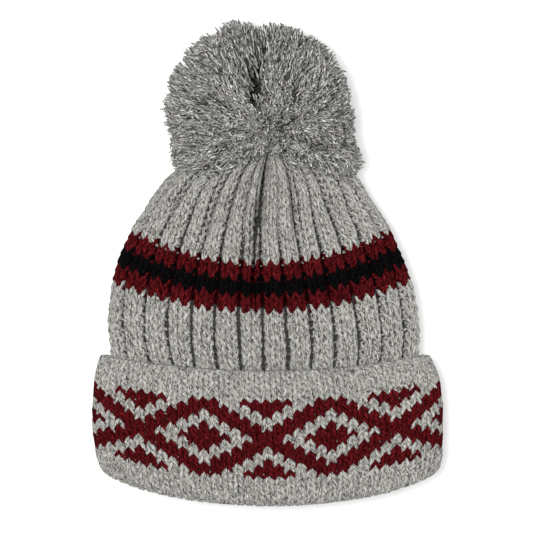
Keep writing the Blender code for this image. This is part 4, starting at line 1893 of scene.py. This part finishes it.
        # Strands at the bottom of deep creases are left out, so that the head's painted shade shows
        # in the partings.
        keep = ~self.inside_crown(tips, 0.0016) & ~bottom
        tips, lock = tips[keep], lock[keep]
        count = len(tips)
        level = np.clip(tips[:, 2] / self.loft, 0, 1)
        root_x = self.heart_shift[0] + chance.normal(0, self.heart_scatter, count)
        shifted_y = self.heart_y + self.heart_shift[1]
        root_y = shifted_y + chance.normal(0, self.heart_scatter, count)
        root = np.stack([root_x, root_y, self.lowest_root + self.root_rise * level], axis=1)
        gap = tips - root
        distance = np.linalg.norm(gap, axis=1, keepdims=True)
        flat = unit(gap * np.array([1.0, 1.0, 0.0]))
        first = root + flat * distance * 0.36
        upward = np.array([0.0, 0.0, 1.0]) * np.clip((level - 0.45) / 0.4, 0, 1)[:, None]
        common = np.clip(chance.normal(0, self.lock_lean, (self.locks, 3)), -0.4, 0.4)[lock]
        own = np.clip(chance.normal(0, self.strand_lean, (count, 3)), -0.5, 0.5)
        lean = unit(unit(gap) * 0.75 + flat * 0.20 + upward * 0.30 + common + own)
        second = tips - lean * distance * 0.34
        t = np.array(self.marks)[:, None, None]
        paths = (
            root * (1 - t) ** 3 + 3 * first * t * (1 - t) ** 2
            + 3 * second * t * t * (1 - t) + tips * t**3
        )
        phase = chance.uniform(0, 2 * math.pi, (1, count, 1))
        phase = phase + self.curl_turn * np.arange(len(t))[:, None, None]
        beside = unit(np.cross(lean, chance.normal(0, 1, (count, 3))))
        above = np.cross(lean, beside)
        curl = self.curl * chance.uniform(0.3, 1.5, (1, count, 1))
        curl = curl * np.clip((1.06 - t) / 0.3, 0.35, 1.0)
        paths = paths + curl * (np.cos(phase) * beside + np.sin(phase) * above)
        bend = self.bend * chance.uniform(0.0, 1.0, (1, count, 1))
        bend = bend * np.clip((t - 0.80) / 0.20, 0, 1) ** 1.3
        paths = paths + bend * (beside - 0.30 * lean)
        upper, lower = "pompom_strands_upper", "pompom_strands_lower"
        meshes = {upper: YarnMesh(), lower: YarnMesh()}
        high = float(np.median(level))
        for n in range(count):
            path = paths[:, n]
            size = self.strand_radius * chance.uniform(0.72, 1.25)
            away = np.tile(unit(chance.normal(0, 1, 3)), (len(path), 1))
            rings, lengths = tube(path, away, size * np.array(self.swell), self.sides, closed=False)
            tip = rings[-1].mean(axis=0)
            end = tip + (rings[-1] - tip) * 0.02 + lean[n] * size * 0.5
            rings = np.concatenate([rings, end[None]])
            lengths = np.append(lengths, lengths[-1] + size)
            mesh = meshes[upper if level[n] > high else lower]
            start = float(chance.uniform(0, 50))
            mesh.add(rings, lengths, np.arange(len(rings) - 1), len(rings) - 1, start)
        strands = [
            settle(mesh.build(name, 3.0), POMPOM_YARN, ("pompom",))
            for name, mesh in meshes.items()
        ]
        return [*strands, self.head()]

    def head(self) -> bpy.types.Object:
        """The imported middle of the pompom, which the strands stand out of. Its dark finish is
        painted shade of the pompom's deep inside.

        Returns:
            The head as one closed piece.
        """
        columns, rows = self.head_columns, self.head_rows
        angle = 360 * np.arange(columns) / columns
        rings = []
        for share in np.linspace(0.0, 0.97, rows):
            ring = self.surface(angle, np.full(columns, share))
            dip = self.lock_of(ring)[1]
            share_kept = np.full(columns, self.head_share)
            ring = self.drawn_in(self.pressed(ring)[0], 0.8 * dip, share_kept)
            low = self.inside_crown(ring, 0.001)
            inner = self.drawn_in(ring, np.zeros(columns), np.full(columns, 0.55))
            rings.append(np.where(low[:, None], inner, ring))
        rings = np.array(rings)
        rings[:, :, 2] = np.maximum(rings[:, :, 2], 0.0015)
        steps = np.linalg.norm(np.diff(rings, axis=0), axis=2).mean(axis=1)
        lengths = np.concatenate([[0.0], np.cumsum(steps), [steps.sum() + 0.004]])
        mesh = YarnMesh()
        mesh.add(rings, lengths, np.arange(rows - 1), rows - 1, self.head_marl)
        return settle(mesh.build("pompom_head", 1.0), SHADED_HEAD_FINISH)


# ---------------------------------------------------------------- the studio


@dataclass(frozen=True)
class Softbox:
    """A square soft light that faces the hat, with its power in watts."""

    name: str
    place: Point
    size: float
    power: float

    def build(self) -> bpy.types.Object:
        """Hangs the light.

        Returns:
            The light.
        """
        lamp = bpy.data.lights.new(self.name, "AREA")
        lamp.shape, lamp.size, lamp.energy = "SQUARE", self.size, self.power
        made = in_scene(self.name, lamp)
        made.location = self.place
        made.rotation_euler = (-made.location).to_track_quat("-Z", "Y").to_euler()
        return made


@dataclass
class Studio:
    """A pale floor, soft light and the camera straight above the hat."""

    view_width: float = 0.3465
    view_centre: tuple[float, float] = (-0.001, -0.002)
    camera_height: float = 2.2
    subject_height: float = 0.035
    sensor: float = 36.0
    clipping: tuple[float, float] = (0.05, 20.0)
    floor_size: float = 3.0
    floor_gap: float = 0.0004
    floor_glow: float = 0.22
    sky_light: float = 0.38
    lights: tuple[Softbox, ...] = (
        Softbox("key_softbox", (-0.28, 0.06, 1.50), 0.45, 19.0),
        Softbox("fill_softbox", (0.80, -0.10, 1.15), 1.2, 7.0),
    )

    def paper(self) -> bpy.types.Material:
        """The floor's white paper.

        Returns:
            Its material.
        """
        material = bpy.data.materials.new("white_paper")
        material.use_nodes = True
        bench = NodeBench(material.node_tree)
        noise = bench.add("ShaderNodeTexNoise")
        bench.fill(noise, {"Scale": 6.0})
        tone = bench.mix(noise.outputs["Fac"], (0.93, 0.93, 0.93, 1), (0.95, 0.95, 0.95, 1))
        bench.fill(
            material.node_tree.nodes["Principled BSDF"],
            {
                "Base Color": tone,
                "Roughness": 0.9,
                "Emission Color": (1.0, 1.0, 1.0, 1.0),
                "Emission Strength": self.floor_glow,
            },
        )
        return material

    def floor(self) -> bpy.types.Object:
        """Lays the floor that the hat lies on.

        Returns:
            The floor.
        """
        mesh = bpy.data.meshes.new("floor")
        size = self.floor_size
        corners = [(-size, -size, 0), (size, -size, 0), (size, size, 0), (-size, size, 0)]
        mesh.from_pydata(corners, [], [(0, 1, 2, 3)])
        mesh.materials.append(self.paper())
        made = in_scene("floor", mesh)
        made.location.z = -self.floor_gap
        return made

    def camera(self) -> bpy.types.Object:
        """Sets the camera to look straight down, with the pompom at the top of the picture.

        Returns:
            The camera.
        """
        lens = bpy.data.cameras.new("camera")
        lens.sensor_width = self.sensor
        lens.lens = self.sensor * (self.camera_height - self.subject_height) / self.view_width
        lens.clip_start, lens.clip_end = self.clipping
        made = in_scene("camera", lens)
        made.location = (*self.view_centre, self.camera_height)
        bpy.context.scene.camera = made
        return made

    def build(self) -> None:
        """Sets up the floor, the lights, the sky and the camera."""
        self.floor()
        for light in self.lights:
            light.build()
        world = bpy.data.worlds.new("studio_sky")
        world.use_nodes = True
        white = (1.0, 1.0, 1.0, 1.0)
        sky = world.node_tree.nodes["Background"]
        NodeBench(world.node_tree).fill(sky, {"Color": white, "Strength": self.sky_light})
        bpy.context.scene.world = world
        bpy.context.scene.view_settings.view_transform = "Standard"
        self.camera()


def main() -> None:
    """Builds the hat part by part, then the studio."""
    logging.basicConfig(level=logging.INFO, format="%(message)s")
    form = HatForm()
    fabric = Fabric(form)
    plan = RowPlan(form)
    knitter = Knitter(fabric, plan)
    LOG.info("rows of knitting: %d, packed nodes: %d", plan.end, len(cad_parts))
    cuff = Cuff(knitter).build()
    bands = {piece.name: piece for piece in RibbedBody(knitter).build()}
    bloom = LooseFibres()
    bloom.build("cuff_fibres", cuff[0], 9000, FIBRES, "cuff_yarn")
    bloom.build("body_fibres", bands["body_knit"], 5000, FIBRES, "body_yarn")
    bloom.build("crown_fibres", bands["crown_knit"], 7000, FIBRES, "body_yarn")
    # The dark sheet of painted shade in the furrows, the gaps between loops and the deep folds.
    ShadeSheet(knitter).build()
    GatherTie(form).build()
    strands = Pompom(form).build()
    fluff = LooseFibres(length=(0.003, 0.0075), width=0.00013)
    fluff.build("pompom_fibres_upper", strands[0], 4500, FIBRES, "pompom_yarn")
    fluff.build("pompom_fibres_lower", strands[1], 4000, FIBRES, "pompom_yarn")
    Studio().build()


if __name__ == "__main__":
    main()
